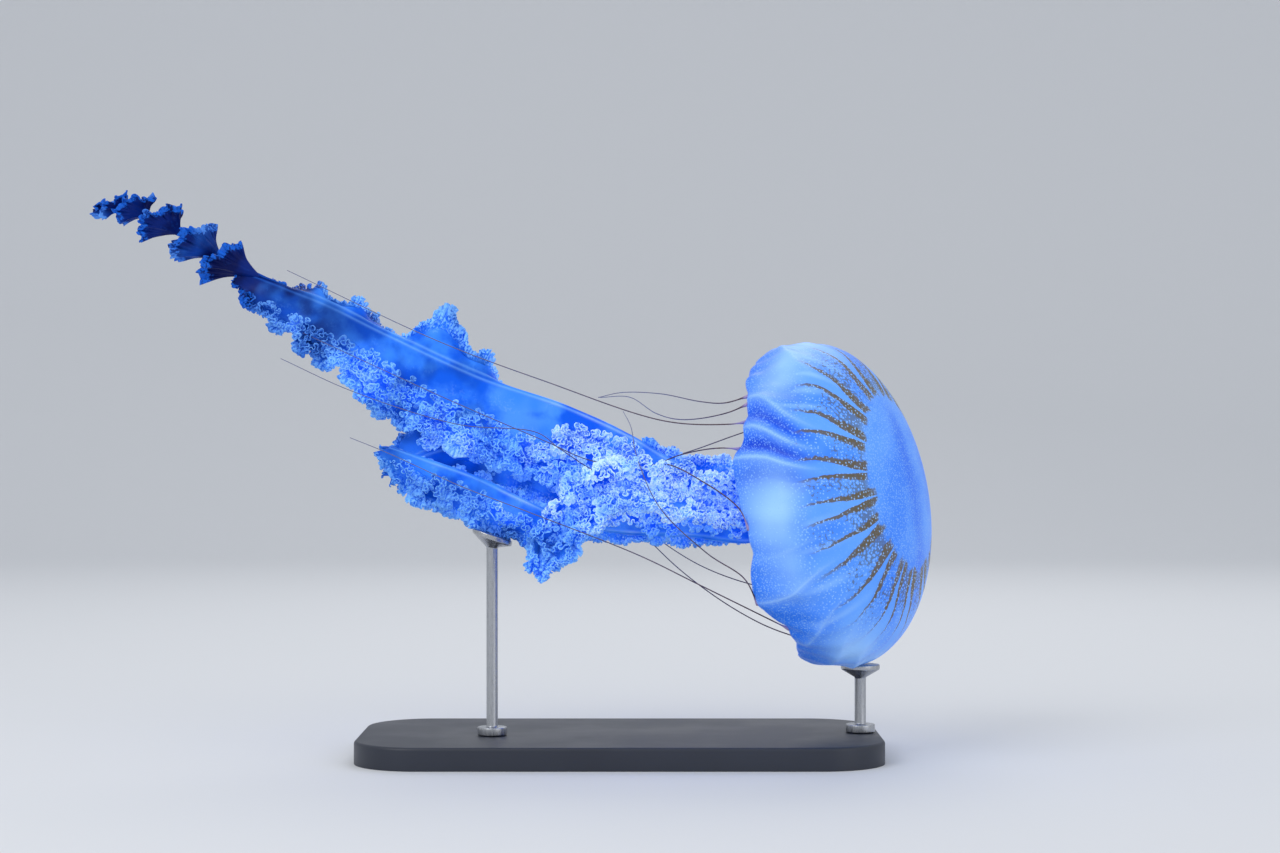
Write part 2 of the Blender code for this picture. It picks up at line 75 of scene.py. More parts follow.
bm = bmesh.new()
ends = [bm.verts.new((x, -SWEEP_FRONT, 0)) for x in (-SWEEP_HALF_WIDTH, SWEEP_HALF_WIDTH)]
row = pull(bm, [bm.edges.new(ends)], (0, SWEEP_FRONT + SWEEP_BACK, 0))
turns = [math.radians(a) for a in range(0, 91, 6)]
for start, end in zip(turns, turns[1:]):
    along = SWEEP_CURVE * (math.sin(end) - math.sin(start))
    row = pull(bm, row, (0, along, SWEEP_CURVE * (math.cos(start) - math.cos(end))))
row = pull(bm, row, (0, 0, SWEEP_HEIGHT))
bmesh.ops.recalc_face_normals(bm, faces=bm.faces)
sweep_mesh = as_mesh("studio_sweep", bm)
sweep_mesh.shade_smooth()
sweep = bpy.data.objects.new("studio_sweep", sweep_mesh)
bpy.context.scene.collection.objects.link(sweep)
paper = bpy.data.materials.new("sweep_paper")
paper.use_nodes = True
paper_shader = paper.node_tree.nodes["Principled BSDF"]
paper_shader.inputs["Base Color"].default_value = (0.72, 0.73, 0.75, 1)
paper_shader.inputs["Roughness"].default_value = 0.85
sweep_mesh.materials.append(paper)


def lamp(name, place, aim, size, power, colour=(1, 1, 1)):
    """A large square area lamp at this place, turned to its aim."""
    data = bpy.data.lights.new(name, "AREA")
    data.size = size
    data.energy = power
    data.color = colour
    made = bpy.data.objects.new(name, data)
    made.location = place
    made.rotation_euler = (aim - Vector(place)).to_track_quat("-Z", "Y").to_euler()
    bpy.context.scene.collection.objects.link(made)


middle = Vector((0, 0, 0.2))
lamp("key", (-1.1, -1.3, 1.5), middle, 1.2, 15)
lamp("fill", (1.7, -1.5, 0.8), middle, 1.6, 7)
lamp("back", (0.3, 1.4, 1.7), middle, 1.4, 10)
world = bpy.data.worlds.new("studio")
world.use_nodes = True
world.node_tree.nodes["Background"].inputs["Color"].default_value = (0.9, 0.94, 1.0, 1)
world.node_tree.nodes["Background"].inputs["Strength"].default_value = 0.7
bpy.context.scene.world = world
bpy.context.scene.view_settings.view_transform = "Standard"

camera = bpy.data.objects.new("camera", bpy.data.cameras.new("camera"))
camera.location = (0.01234, -1.536, 0.2027)
camera.rotation_euler = (math.pi / 2, 0, 0)
camera.data.lens = 70
camera.data.sensor_width = 36
camera.data.clip_start = 0.02
bpy.context.scene.collection.objects.link(camera)
bpy.context.scene.camera = camera

# ---------------------------------------------------------------- the bell
# One clear, firm shell of jelly that thins to a scalloped margin of 32 lappets, drawn in by
# folds where it pulses. Pale stinging warts speckle it, and 16 pairs of brown streaks run out
# from round the crown. It is turned in one piece and then folded.
BELL_CENTRE = Vector((129, 0, 155.5)) * MM
BELL_PITCH = math.radians(11)
BELL_YAW = math.radians(20)
BELL_RADIUS = 101 * MM
DOME_HEIGHT = 58 * MM
SKIRT_DEPTH = 20 * MM
RIM_RADIUS = 92 * MM
CROWN_THICKNESS = 8 * MM
WAIST_THICKNESS = 4 * MM
RIM_THICKNESS = 1.6 * MM
RIM_ROUNDING = 0.6 * MM
LAPPET_LENGTH = 3 * MM
LAPPET_FLARE = 0.8 * MM
BELL_SEGMENTS = 768
DOME_RINGS = 58
SKIRT_RINGS = 16
INNER_RINGS = 24

CROWN_AXIS = Vector(
    (
        math.cos(BELL_YAW) * math.cos(BELL_PITCH),
        -math.sin(BELL_YAW),
        math.cos(BELL_YAW) * math.sin(BELL_PITCH),
    )
)
TOP_AXIS = Vector((-math.sin(BELL_PITCH), 0, math.cos(BELL_PITCH)))
NEAR_AXIS = CROWN_AXIS.cross(TOP_AXIS)
BELL_TURN = Matrix((NEAR_AXIS, -TOP_AXIS, CROWN_AXIS)).transposed()


def eased(value, start, end):
    """0 before start, 1 after end and a smooth rise between, for numbers and arrays."""
    share = np.clip((value - start) / (end - start), 0.0, 1.0)
    return share * share * (3 - 2 * share)


def between_stops(value, stops):
    """The height at each value, eased between (value, height) stops."""
    at, height = (np.array(column, float) for column in zip(*stops))
    i = np.clip(np.searchsorted(at, value, side="right") - 1, 0, len(at) - 2)
    part = np.clip((value - at[i]) / (at[i + 1] - at[i]), 0, 1)
    return height[i] + (height[i + 1] - height[i]) * part * part * (3 - 2 * part)


def hump(value, centre, half):
    """1 at the centre, with a soft fall to 0 on both sides."""
    return np.exp(-(((value - centre) / half) ** 2))


def dome_point(polar, inset):
    """(radius, height) on the dome, that share of its thickness below its outer face."""
    thickness = CROWN_THICKNESS + (WAIST_THICKNESS - CROWN_THICKNESS) * eased(polar, 0, math.pi / 2)
    slope = Vector((DOME_HEIGHT * math.sin(polar), BELL_RADIUS * math.cos(polar)))
    slope.normalize()
    radius = BELL_RADIUS * math.sin(polar) - slope.x * thickness * inset
    return max(0.0, radius), DOME_HEIGHT * math.cos(polar) - slope.y * thickness * inset


def skirt_point(share, inset):
    """(radius, height) on the skirt below the widest ring."""
    thickness = WAIST_THICKNESS + (RIM_THICKNESS - WAIST_THICKNESS) * share
    radius = BELL_RADIUS - (BELL_RADIUS - RIM_RADIUS) * share**1.6
    return radius - thickness * inset, -SKIRT_DEPTH * share


bell_profile = [dome_point(math.pi / 2 * k / DOME_RINGS, 0) for k in range(DOME_RINGS + 1)]
bell_profile += [skirt_point((k + 1) / SKIRT_RINGS, 0) for k in range(SKIRT_RINGS)]
rim_radius, rim_height = skirt_point(1, 0.5)
bell_profile.append((rim_radius, rim_height - RIM_ROUNDING))
bell_profile += [skirt_point(1 - k / SKIRT_RINGS, 1) for k in range(SKIRT_RINGS)]
bell_profile += [dome_point(math.pi / 2 * (1 - k / INNER_RINGS), 1) for k in range(INNER_RINGS + 1)]


def turned(profile, segments):
    """A closed bmesh: this outline of (radius, height) points spun about the Z axis."""
    bm = bmesh.new()
    verts = [bm.verts.new((radius, 0, height)) for radius, height in profile]
    edges = [bm.edges.new(pair) for pair in zip(verts, verts[1:])]
    bmesh.ops.spin(
        bm, geom=verts + edges, axis=(0, 0, 1), cent=(0, 0, 0), angle=2 * math.pi,
        steps=segments, use_merge=True,
    )
    bmesh.ops.remove_doubles(bm, verts=bm.verts, dist=0.02 * MM)
    bmesh.ops.recalc_face_normals(bm, faces=bm.faces)
    return bm


# The far side has even folds. The near side has pleats, where the wall stands up or sinks in:
# (azimuth in degrees, rise in millimetres, half width in degrees).
FOLDS = 16
FOLD_DEPTH = 3 * MM
PLEATS = [
    (-74, 1.2, 9), (-56, 3.0, 7), (-42, -1.0, 4), (-31.5, 4.2, 4.2), (-27, -2.2, 2.0),
    (-22.5, 4.4, 3.4), (-18.8, -3.2, 1.7), (-15.3, 3.8, 2.6), (-10.5, -1.4, 3.0), (8, 1.0, 4),
    (18, 3.0, 5), (33, 2.4, 4), (47, 2.0, 4), (61, 1.6, 4),
]
FULL_HIGHLIGHT_RISE = 3.6  # the rise of a pleat whose ridge gets the full painted highlight, in millimetres
FULL_SHADE_DEPTH = 2.6  # and the depth of one whose valley gets the full painted shade
CREST_HIGHLIGHT_LINE = 0.36  # half widths of the painted highlight line along a ridge, and of the painted glow beside it
CREST_HIGHLIGHT_GLOW = 1.7
RIPPLE_HEIGHT = 0.3 * MM
# The near upper corner is round: its wall sinks at the widest ring and swells at the skirt.
SHOULDER_AZIMUTH = -80
SHOULDER = [(60, 0), (90, -1.2), (99, -0.4), (109, 2.6), (113, 2.2)]


def on_near_side(azimuth):
    """1 on the bell's near half and 0 on its far half."""
    return eased(np.abs(np.degrees(azimuth)), 125, 95)


def pleat_relief(azimuth, meridian):
    """How far the wall stands out in its folds, in metres, and its painted crest highlight and valley
    shade.

    meridian is 0 at the crown and 90 at the widest ring, and then counts millimetres of skirt.
    """
    degrees = np.degrees(azimuth)
    gather = 1 - 0.4 * eased(meridian, 62, 112)  # the pleats spread as they near the rim
    ridge = degrees * np.where(np.abs(degrees) < 90, gather, 1)
    near_side = on_near_side(azimuth)
    drawn_in = eased(meridian, 50, 90)
    even = 0.5 + 0.5 * np.cos(FOLDS * azimuth)
    out = -FOLD_DEPTH * drawn_in * (1 - even) * (1 - 0.95 * near_side)
    # The tops of the far side's even folds get a painted highlight.
    crest = drawn_in * (1 - near_side) * even**6 * 0.5
    # Where the wall sinks in, its valley gets painted shade.
    valley = np.clip(-out / (3.4 * MM), 0, 1) * 0.7
    reach = near_side * eased(meridian, 60, 88) * (1 - 0.45 * eased(meridian, 100, 113))
    height = -3.6 * eased(np.abs(degrees + 32), 34, 20) - 1.2 * eased(degrees, 25, 0)
    for centre, rise, half in PLEATS:
        bump = np.exp(-np.abs((ridge - centre) / half) ** 1.35)
        height = height + rise * bump * (1.15 if centre > 0 else 1.35)
        # A standing pleat gets a painted highlight along its ridge.
        if rise > 0:
            pale = 0.66 * hump(ridge, centre, CREST_HIGHLIGHT_LINE) + 0.34 * hump(ridge, centre, CREST_HIGHLIGHT_GLOW)
            crest = np.maximum(crest, reach * pale * min(1.0, rise / FULL_HIGHLIGHT_RISE))
        else:
            # A sunken pleat gets painted shade in its valley.
            dark = hump(ridge, centre, 1.25 * half)
            valley = np.maximum(valley, reach * dark * min(1.0, -rise / FULL_SHADE_DEPTH))
    shoulder = near_side * eased(np.abs(degrees - SHOULDER_AZIMUTH), 28, 6)
    out = out + reach * height * MM + shoulder * between_stops(meridian, SHOULDER) * MM
    out = out + RIPPLE_HEIGHT * drawn_in * np.sin(41 * azimuth + 0.09 * meridian)
    return out, np.clip(crest, 0, 1), np.clip(valley, 0, 1)


# How far the near side of the rim hangs below a plain round one: (azimuth, millimetres).
RIM_HANG = [
    (-112, 0), (-90, 4), (-66, 4), (-50, 0), (-38, 0.7), (-22, 8.6), (-13, 8), (3, 4.4), (9, 4.6),
    (24, 10.8), (29, 11.5), (48, 0.4), (53, 0.8), (75, 8.4), (90, 5.5), (112, 0),
]


def rim_drop(azimuth):
    """How far below the skirt's ring its rim hangs there: a scallop for each lappet, and the hang."""
    scallop = LAPPET_LENGTH * (1 - 0.7 * on_near_side(azimuth)) * np.abs(np.sin(FOLDS * azimuth))
    return scallop + between_stops(np.degrees(azimuth), RIM_HANG) * MM


def mesh_points(mesh):
    """A mesh's vertices as an array of rows."""
    flat = np.empty(len(mesh.vertices) * 3)
    mesh.vertices.foreach_get("co", flat)
    return flat.reshape(-1, 3)


def set_mesh_points(mesh, points):
    mesh.vertices.foreach_set("co", np.ascontiguousarray(points, float).ravel())
    mesh.update()


def add_numbers(mesh, **numbers):
    """Numbers on each vertex that a material reads by name."""
    for name, values in numbers.items():
        values = np.broadcast_to(values, len(mesh.vertices)).astype(np.float32)
        mesh.attributes.new(name, "FLOAT", "POINT").data.foreach_set("value", values)


def add_piece(name, mesh, finish, slot, *nodes):
    """The mesh as a smooth piece of the animal that rides on its body and stands for these nodes."""
    mesh.shade_smooth()
    mesh.materials.append(finish)
    made = bpy.data.objects.new(name, mesh)
    bpy.context.scene.collection.objects.link(made)
    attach(made, "root")
    if nodes:
        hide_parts(*nodes)
    return made


bell_mesh = as_mesh("bell_skin", turned(bell_profile, BELL_SEGMENTS))
local = mesh_points(bell_mesh)
radius = np.hypot(local[:, 0], local[:, 1])
azimuth = np.arctan2(local[:, 1], local[:, 0])
degrees = np.degrees(azimuth)
polar = np.degrees(np.arctan2(radius / BELL_RADIUS, local[:, 2] / DOME_HEIGHT))
meridian = np.where(local[:, 2] > 0, np.minimum(polar, 90), 90 - local[:, 2] / MM)
relief, crest, valley = pleat_relief(azimuth, meridian)
flare = LAPPET_FLARE * eased(meridian, 104, 111) * np.sin(2 * FOLDS * azimuth)
relief += flare * (1 - 0.8 * on_near_side(azimuth))
bell_points = local.copy()
bell_points[:, 0] += np.cos(azimuth) * relief
bell_points[:, 1] += np.sin(azimuth) * relief
bell_points[:, 2] -= rim_drop(azimuth) * eased(local[:, 2], -4 * MM, -SKIRT_DEPTH)
set_mesh_points(bell_mesh, bell_points @ np.array(BELL_TURN).T + np.array(BELL_CENTRE))

# Milky places in the jelly, which also serve as painted light that lifts the shaded lower bell:
# clouds as (azimuth, meridian, half width, half length, strength), and narrow stripes from the
# dome to the skirt as (azimuth, half width, strength).
MILK_AND_LIGHT_CLOUDS = [
    (-62, 88, 15, 15, 1), (-3, 94, 15, 16, 1), (62, 80, 15, 16, 1), (80, 84, 14, 14, 1),
    (15, 92, 14, 12, 0.55), (-84, 84, 16, 14, 0.8), (150, 92, 30, 14, 0.8),
    (-150, 90, 30, 14, 0.8), (100, 92, 20, 12, 0.8),
]
MILK_AND_LIGHT_STRIPES = [
    (-76, 2, 0.5), (-67, 2.4, 0.7), (-57, 1.6, 0.8), (-49, 2, 0.6), (-41, 1.3, 0.5),
    (-11, 1.5, 0.4), (3, 2, 0.5), (12, 1.4, 0.5), (26, 1.6, 0.5), (40, 1.8, 0.5), (54, 1.6, 0.6),
    (68, 2.2, 0.6),
]
milk = np.zeros(len(local))
for at, place, width, length, strength in MILK_AND_LIGHT_CLOUDS + [
    (at, 78, half, 18, strength) for at, half, strength in MILK_AND_LIGHT_STRIPES
]:
    milk = np.maximum(milk, strength * hump(degrees, at, width) * hump(meridian, place, length))

# The streaks' plan: how far out a point lies from the pattern's pole beside the crown, and which
# part of a pair it is in, kept as a sine and a cosine so that it closes round the bell.
STREAK_POLE = (9 * MM, -6 * MM)
CLEAR_WEDGES = (
    -80, -52.7, -31.1, -11.7, 4.0, 19.5, 43.0, 61.4, 77.1, 101, 126, 151, 176, 202, 228, 254,
)  # the direction of each wedge between two pairs, in degrees
across = local[:, 0] - STREAK_POLE[0]
down = local[:, 1] - STREAK_POLE[1]
reach = np.hypot(across, down)
around = np.degrees(np.arctan2(down, across)) * (1 - 0.1 * eased(reach, 55 * MM, 90 * MM))
wedges = np.array([*CLEAR_WEDGES, CLEAR_WEDGES[0] + 360.0])
around = np.where(around < wedges[0], around + 360, around)
pair = 2 * math.pi * (np.interp(around, wedges, np.arange(len(wedges))) + 0.5)

# The four lobes of the stomach show through the crown as one dark band with bent ends.
STOMACH_HALF_WIDTH = 9 * MM
stomach = hump(local[:, 0], 11 * MM + 4 * MM * np.cos(local[:, 1] / (22 * MM)), STOMACH_HALF_WIDTH)
stomach *= eased(np.abs(local[:, 1]), 62 * MM, 40 * MM)
depth = np.hypot(radius / BELL_RADIUS, local[:, 2] / DOME_HEIGHT)  # 1 on the dome's outer face

add_numbers(
    bell_mesh, milk=milk, crest=crest, valley=valley, skirt=eased(meridian, 60, 112),
    stomach=stomach, pair_sine=np.sin(pair), pair_cosine=np.cos(pair), reach=reach / MM,
    outside=eased(depth, 0.965, 0.985),
)


class Value:
    """A number or colour that a material works out at each place, open to plain arithmetic."""

    def __init__(self, recipe, socket):
        self.recipe = recipe
        self.socket = socket

    def __add__(self, other):
        return self.recipe.reckon("ADD", self, other)

    def __sub__(self, other):
        return self.recipe.reckon("SUBTRACT", self, other)

    def __mul__(self, other):
        return self.recipe.reckon("MULTIPLY", self, other)

    def __abs__(self):
        return self.recipe.reckon("ABSOLUTE", self)


class Recipe:
    """A Principled material under construction: each step adds a node and returns its output."""

    def __init__(self, name, roughness, specular=0.5, coat=0.0):
        self.material = bpy.data.materials.new(name)
        self.material.use_nodes = True
        self.tree = self.material.node_tree
        self.shader = self.tree.nodes["Principled BSDF"]
        self.shader.inputs["Roughness"].default_value = roughness
        self.shader.inputs["Specular IOR Level"].default_value = specular
        self.shader.inputs["Coat Weight"].default_value = coat
        self.shader.inputs["Coat Roughness"].default_value = 0.12
        self.place = self.add("ShaderNodeTexCoord", "Object")

    def add(self, kind, output, inputs=(), **settings):
        """Adds a node with these settings and inputs, and returns one of its outputs."""
        node = self.tree.nodes.new(kind)
        for key, value in settings.items():
            setattr(node, key, value)
        for key, value in dict(inputs).items():
            if isinstance(value, Value):
                self.tree.links.new(value.socket, node.inputs[key])
            else:
                node.inputs[key].default_value = value
        return Value(self, node.outputs[output])

    def reckon(self, operation, *terms):
        return self.add("ShaderNodeMath", 0, enumerate(terms), operation=operation)

    def most(self, first, *others):
        """The largest of these."""
        for other in others:
            first = self.reckon("MAXIMUM", first, other)
        return first

    def rise(self, value, start, end, low=0.0, high=1.0):
        """value as a smooth step from low at start to high at end."""
        inputs = enumerate((value, start, end, low, high))
        return self.add("ShaderNodeMapRange", 0, inputs, interpolation_type="SMOOTHSTEP")

    def blend(self, share, first, second):
        """A colour between two."""
        first, second = ((*c, 1) if isinstance(c, tuple) else c for c in (first, second))
        return self.add("ShaderNodeMix", 2, {0: share, 6: first, 7: second}, data_type="RGBA")

    def noise(self, scale, detail=3.0, place=None):
        inputs = {"Vector": place or self.place, "Scale": scale, "Detail": detail}
        return self.add("ShaderNodeTexNoise", "Fac", inputs)

    def cells(self, scale, randomness=1.0):
        """The distance to the nearest of many scattered points, in cell widths."""
        inputs = {"Vector": self.place, "Scale": scale, "Randomness": randomness}
        return self.add("ShaderNodeTexVoronoi", "Distance", inputs)

    def number(self, name):
        """A number kept on the mesh's vertices."""
        return self.add("ShaderNodeAttribute", "Fac", attribute_name=name)

    def feed(self, socket, value):
        self.tree.links.new(value.socket, self.shader.inputs[socket])

    def bump(self, height, distance, strength=0.5):
        inputs = {"Height": height, "Distance": distance, "Strength": strength}
        self.feed("Normal", self.add("ShaderNodeBump", "Normal", inputs))


def tint(red, green, blue):
    """A display colour of 0 to 255 in the linear values that shaders take."""
    return tuple(
        c / 3294.6 if c <= 10 else ((c / 255 + 0.055) / 1.055) ** 2.4 for c in (red, green, blue)
    )


BELL_BLUE = tint(64, 132, 241)
CLOUD_BLUE = tint(98, 160, 248)
STOMACH_BLUE = tint(22, 88, 222)
WEDGE_BLUE = tint(104, 168, 249)
SKIRT_BLUE = tint(42, 118, 239)
VALLEY_SHADE_BLUE = tint(0, 48, 196)
MILK_AND_LIGHT_BLUE = tint(158, 205, 253)
CREST_HIGHLIGHT_BLUE = tint(156, 200, 252)
WART_BLUE = tint(150, 198, 252)
NET_GREY = tint(84, 86, 82)
STREAK_BROWN = tint(96, 84, 52)
# The colour of the bell's painted glow.
BELL_GLOW = tint(4, 104, 245)

# Each pair of streaks is the two dark edges of one speckled band. A clear, milky wedge parts it
# from the next, and opens from a point as it runs out. Lengths here are in millimetres.
STREAK_START = 52
STREAK_END = 92
STREAK_RUN = (STREAK_START, STREAK_END)
BAND_EDGES = (0.475, 0.31)  # from a band's middle to its edges, at its start and end, in periods
PERIOD_SHARE = 0.345  # how long a period is, as a share of the distance from the pole
STREAK_WIDTHS = (6.2, 1.6)
DOT_CELLS = 540.0  # how many dots, warts and finest specks there are to a metre
WART_CELLS = 400.0
FINEST_CELLS = 760.0

jelly = Recipe("bell_jelly", 0.36, 0.14, 0.04)
milk = jelly.number("milk")
reach = jelly.number("reach")
skirt = jelly.number("skirt")
on_dome = jelly.rise(skirt, 0.4, 0.12)
clouds = jelly.noise(26.0, 3.0)
dots = jelly.cells(DOT_CELLS, 0.8)

# How far a place lies inside its band, and from that the ragged streaks along the band's edges.
turn = jelly.reckon("ARCTAN2", jelly.number("pair_sine"), jelly.number("pair_cosine"))
step = turn * (1 / (2 * math.pi)) + (jelly.noise(60.0, 2.0) * 0.16 - 0.08)
band = jelly.rise(reach, *STREAK_RUN, *BAND_EDGES)
inside = (band - abs(step)) * (reach * PERIOD_SHARE)
ragged = jelly.noise(520.0, 3.0) * 2.6 - 1.3
width = jelly.rise(reach, *STREAK_RUN, *STREAK_WIDTHS)
streak = jelly.rise(ragged * 0.5 + inside, -0.1, 0.4)
streak *= jelly.rise(ragged * 1.6 + width - inside, -0.4, 0.6)

# Streaks start at uneven distances, fade out on the skirt and show faintly from inside.
start_at = jelly.noise(130.0, 3.0) * 14.0 + (STREAK_START - 5.5)
shown = jelly.rise(reach - start_at, -1.5, 2.0) * jelly.rise(reach, STREAK_END + 8, STREAK_END - 10)
shown *= on_dome * jelly.rise(jelly.number("outside"), 0.0, 1.0, 0.3, 1.0)
streak *= shown * jelly.rise(dots, 0.08, 0.2)

# The net is the pigment between a band's dots. It opens where it runs out.
openness = jelly.rise(reach, *STREAK_RUN, 0.28, 0.72)
openness += jelly.rise(jelly.noise(45.0, 2.0), 0.38, 0.62, 0.3, -0.06)
net = jelly.rise(dots - openness, 0.0, 0.14) * jelly.rise(inside, 0.0, 1.0)
net *= jelly.rise(reach, STREAK_START, STREAK_START + 8) * shown * 0.66
in_clear = jelly.rise(inside, 0.4, -0.6) * on_dome
in_clear *= jelly.rise(reach, STREAK_START - 2, STREAK_START + 10)

# Pale specks: the finest on the crown and the skirt, dots between them, and warts on the skirt.
finest_on = jelly.rise(skirt, 0.2, 0.8, 0.0, 0.5) * jelly.rise(milk, 0.7, 0.3)
finest_on = jelly.most(finest_on, jelly.rise(reach, 64, 46, 0.0, 0.6))
finest = jelly.rise(jelly.cells(FINEST_CELLS, 0.85), 0.42, 0.26) * finest_on
fine = jelly.rise(dots, 0.34, 0.22) * jelly.rise(reach, 44, 56, 0.0, 0.75)
fine *= jelly.rise(skirt, 0.7, 0.2)
warts = jelly.rise(jelly.cells(WART_CELLS, 0.9), 0.25, 0.16) * jelly.rise(skirt, 0.1, 0.4, 0.0, 0.7)
specks = jelly.most(finest, fine, warts) * jelly.rise(in_clear, 1.0, 0.2, 0.15, 1.0)

colour = jelly.blend(jelly.rise(clouds, 0.35, 0.65), BELL_BLUE, CLOUD_BLUE)
for share, over in (
    (jelly.number("stomach") * 0.42, STOMACH_BLUE),
    (in_clear * 0.6, WEDGE_BLUE),
    (skirt, SKIRT_BLUE),
    # painted shade in the fold valleys
    (jelly.number("valley"), VALLEY_SHADE_BLUE),
    # milky clouds, partly painted light that lifts the shaded lower bell
    (milk * jelly.rise(clouds, 0.1, 0.6, 0.65, 1.0), MILK_AND_LIGHT_BLUE),
    # painted highlight along the pleat crests
    (jelly.number("crest"), CREST_HIGHLIGHT_BLUE),
    (net, NET_GREY),
    (streak * 0.9, STREAK_BROWN),
    (specks, WART_BLUE),
):
    colour = jelly.blend(share, colour, over)
jelly.feed("Base Color", colour)
# A faint painted glow, deep blue where the jelly is clear of streaks, keeps its shaded sides bright.
clear_share = jelly.rise(jelly.most(streak, net), 0.5, 0.0, 0.0, 0.5)
jelly.feed("Emission Color", jelly.blend(clear_share, colour, BELL_GLOW))
jelly.shader.inputs["Emission Strength"].default_value = 0.24
jelly.bump(clouds * 2.0 + specks, 0.2 * MM)

add_piece("bell_skin", bell_mesh, jelly.material, "bell_jelly", "bell", "bell_margin")

# ---------------------------------------------------------------- the oral arms
# Four long ribbons of thin clear jelly hang from the mouth. Each has a firm double rib along its
# middle and a wing on either side, and each wing's margin is far longer than its rib, so that it
# gathers into ruffles on ruffles. A wing is bent from a flat grid, and so is each gathered frill.
RIB_LINE = 1.6 * MM  # from the rib's middle to each of its two cords
RIB_HALF_WIDTH = 0.8 * MM
RIB_THICKNESS = 2.2 * MM
WEB_THICKNESS = 0.8 * MM
FRILL_THICKNESS = 0.5 * MM
RUFFLE_HEIGHT = 4.5 * MM
RUFFLE_LENGTH = 28 * MM
FULL_WING = 30 * MM
ROOT_LENGTH = 9 * MM
MOUTH_DEPTH = 25 * MM
ARM_OFFSET = 13 * MM
FRILL_STEP = 0.64 * MM  # along a finished frill's edge, from one vertex to the next
FRILL_ROWS = 6
WEB_STRIPS = 4  # how many strips the bake map of a web, a frill and a fan is laid in
FRILL_STRIPS = 24
FAN_STRIPS = 6


def unit(rows):
    return rows / np.linalg.norm(rows, axis=-1, keepdims=True)


def square_to(ahead):
    """The two directions square to a heading that face the near side and down."""
    near = unit(np.array((0.0, -1.0, 0.0)) + ahead * ahead[..., 1:2])
    return near, np.cross(near, ahead)


def marks_along(points):
    """How far along a line of points each of them lies."""
    steps = np.linalg.norm(np.diff(points, axis=0), axis=1)
    return np.concatenate([[0.0], np.cumsum(steps)])


class Route:
    """A smooth curve through a few points, read by length along it."""

    def __init__(self, points, fine=24):
        points = [np.array(p, float) for p in points]
        held = [2 * points[0] - points[1], *points, 2 * points[-1] - points[-2]]
        samples = []
        for before, start, end, after in zip(held, held[1:], held[2:], held[3:]):
            first = np.linalg.norm(start - before) ** 0.5
            second = first + np.linalg.norm(end - start) ** 0.5
            third = second + np.linalg.norm(after - end) ** 0.5
            for t in np.arange(fine) / fine:
                knot = first + (second - first) * t
                start_side = before + (start - before) * knot / first
                middle = start + (end - start) * t
                end_side = end + (after - end) * (knot - second) / (third - second)
                low = start_side + (middle - start_side) * knot / second
                high = middle + (end_side - middle) * (knot - first) / (third - first)
                samples.append(low + (high - low) * t)
        self.samples = np.array([*samples, points[-1]])
        self.marks = marks_along(self.samples)
        self.length = self.marks[-1]

    def at(self, distance):
        """The points this far along."""
        return np.stack([np.interp(distance, self.marks, axis) for axis in self.samples.T], axis=-1)

    def heading(self, distance, reach=4 * MM):
        return unit(self.at(distance + reach) - self.at(distance - reach))


class Arm:
    """An oral arm: how its rib runs and, along it, how each wing turns and how wide it is.

    A wing's turn is in degrees about the rib: 0 hangs down, 90 faces the near side, 180 stands
    up and -90 faces the far side. Widths are in millimetres, and stops are (share, value).
    """

    def __init__(
        self, name, phase, root, route, turns, widths, lengths,
        sweep=(0.84, 1.0, 55), webs=(0.86, 0.86),
    ):
        self.name = name
        self.phase = phase
        centre = BELL_CENTRE - CROWN_AXIS * (MOUTH_DEPTH + 0.3 * MM)
        root = centre + TOP_AXIS * root[0] + NEAR_AXIS * root[1]
        straight = root - CROWN_AXIS * ROOT_LENGTH
        self.route = Route([root, straight, *(np.array(point) * MM for point in route)])
        self.length = self.route.length
        self.turns = turns
        self.widths = widths
        self.sweep = sweep  # where the wings start and end to slant towards the tip, and by how much
        self.webs = webs  # how much of each wing's width its smooth web takes
        self.nodes = [f"{name}_{i + 1}" for i in range(lengths)]


class Wing:
    """One wing of an arm at these distances along its rib: its directions and widths there."""

    def __init__(self, arm, side, distance):
        share = distance / arm.length
        turn = np.radians(between_stops(share, arm.turns[side]))[:, None]
        start, end, slope = arm.sweep
        sweep = (math.radians(slope) * eased(share, start, end))[:, None]
        self.rib = arm.route.at(distance)
        self.ahead = arm.route.heading(distance)
        near, below = square_to(self.ahead)
        outward = below * np.cos(turn) + near * np.sin(turn)
        self.out = outward * np.cos(sweep) + self.ahead * np.sin(sweep)
        self.face = near * np.cos(turn) - below * np.sin(turn)
        self.width = between_stops(share, arm.widths[side]) * MM
        self.fullness = np.clip(self.width / FULL_WING, 0.3, 1.0)
        self.ruffle = np.sin(2 * math.pi * distance / RUFFLE_LENGTH + arm.phase + 2.1 * side)

    def at(self, share):
        """The points at this share of the wing's width, with its broad ruffle."""
        wave = RUFFLE_HEIGHT * self.fullness * share * share * self.ruffle
        return self.rib + self.out * (self.width * share)[:, None] + self.face * wave[:, None]


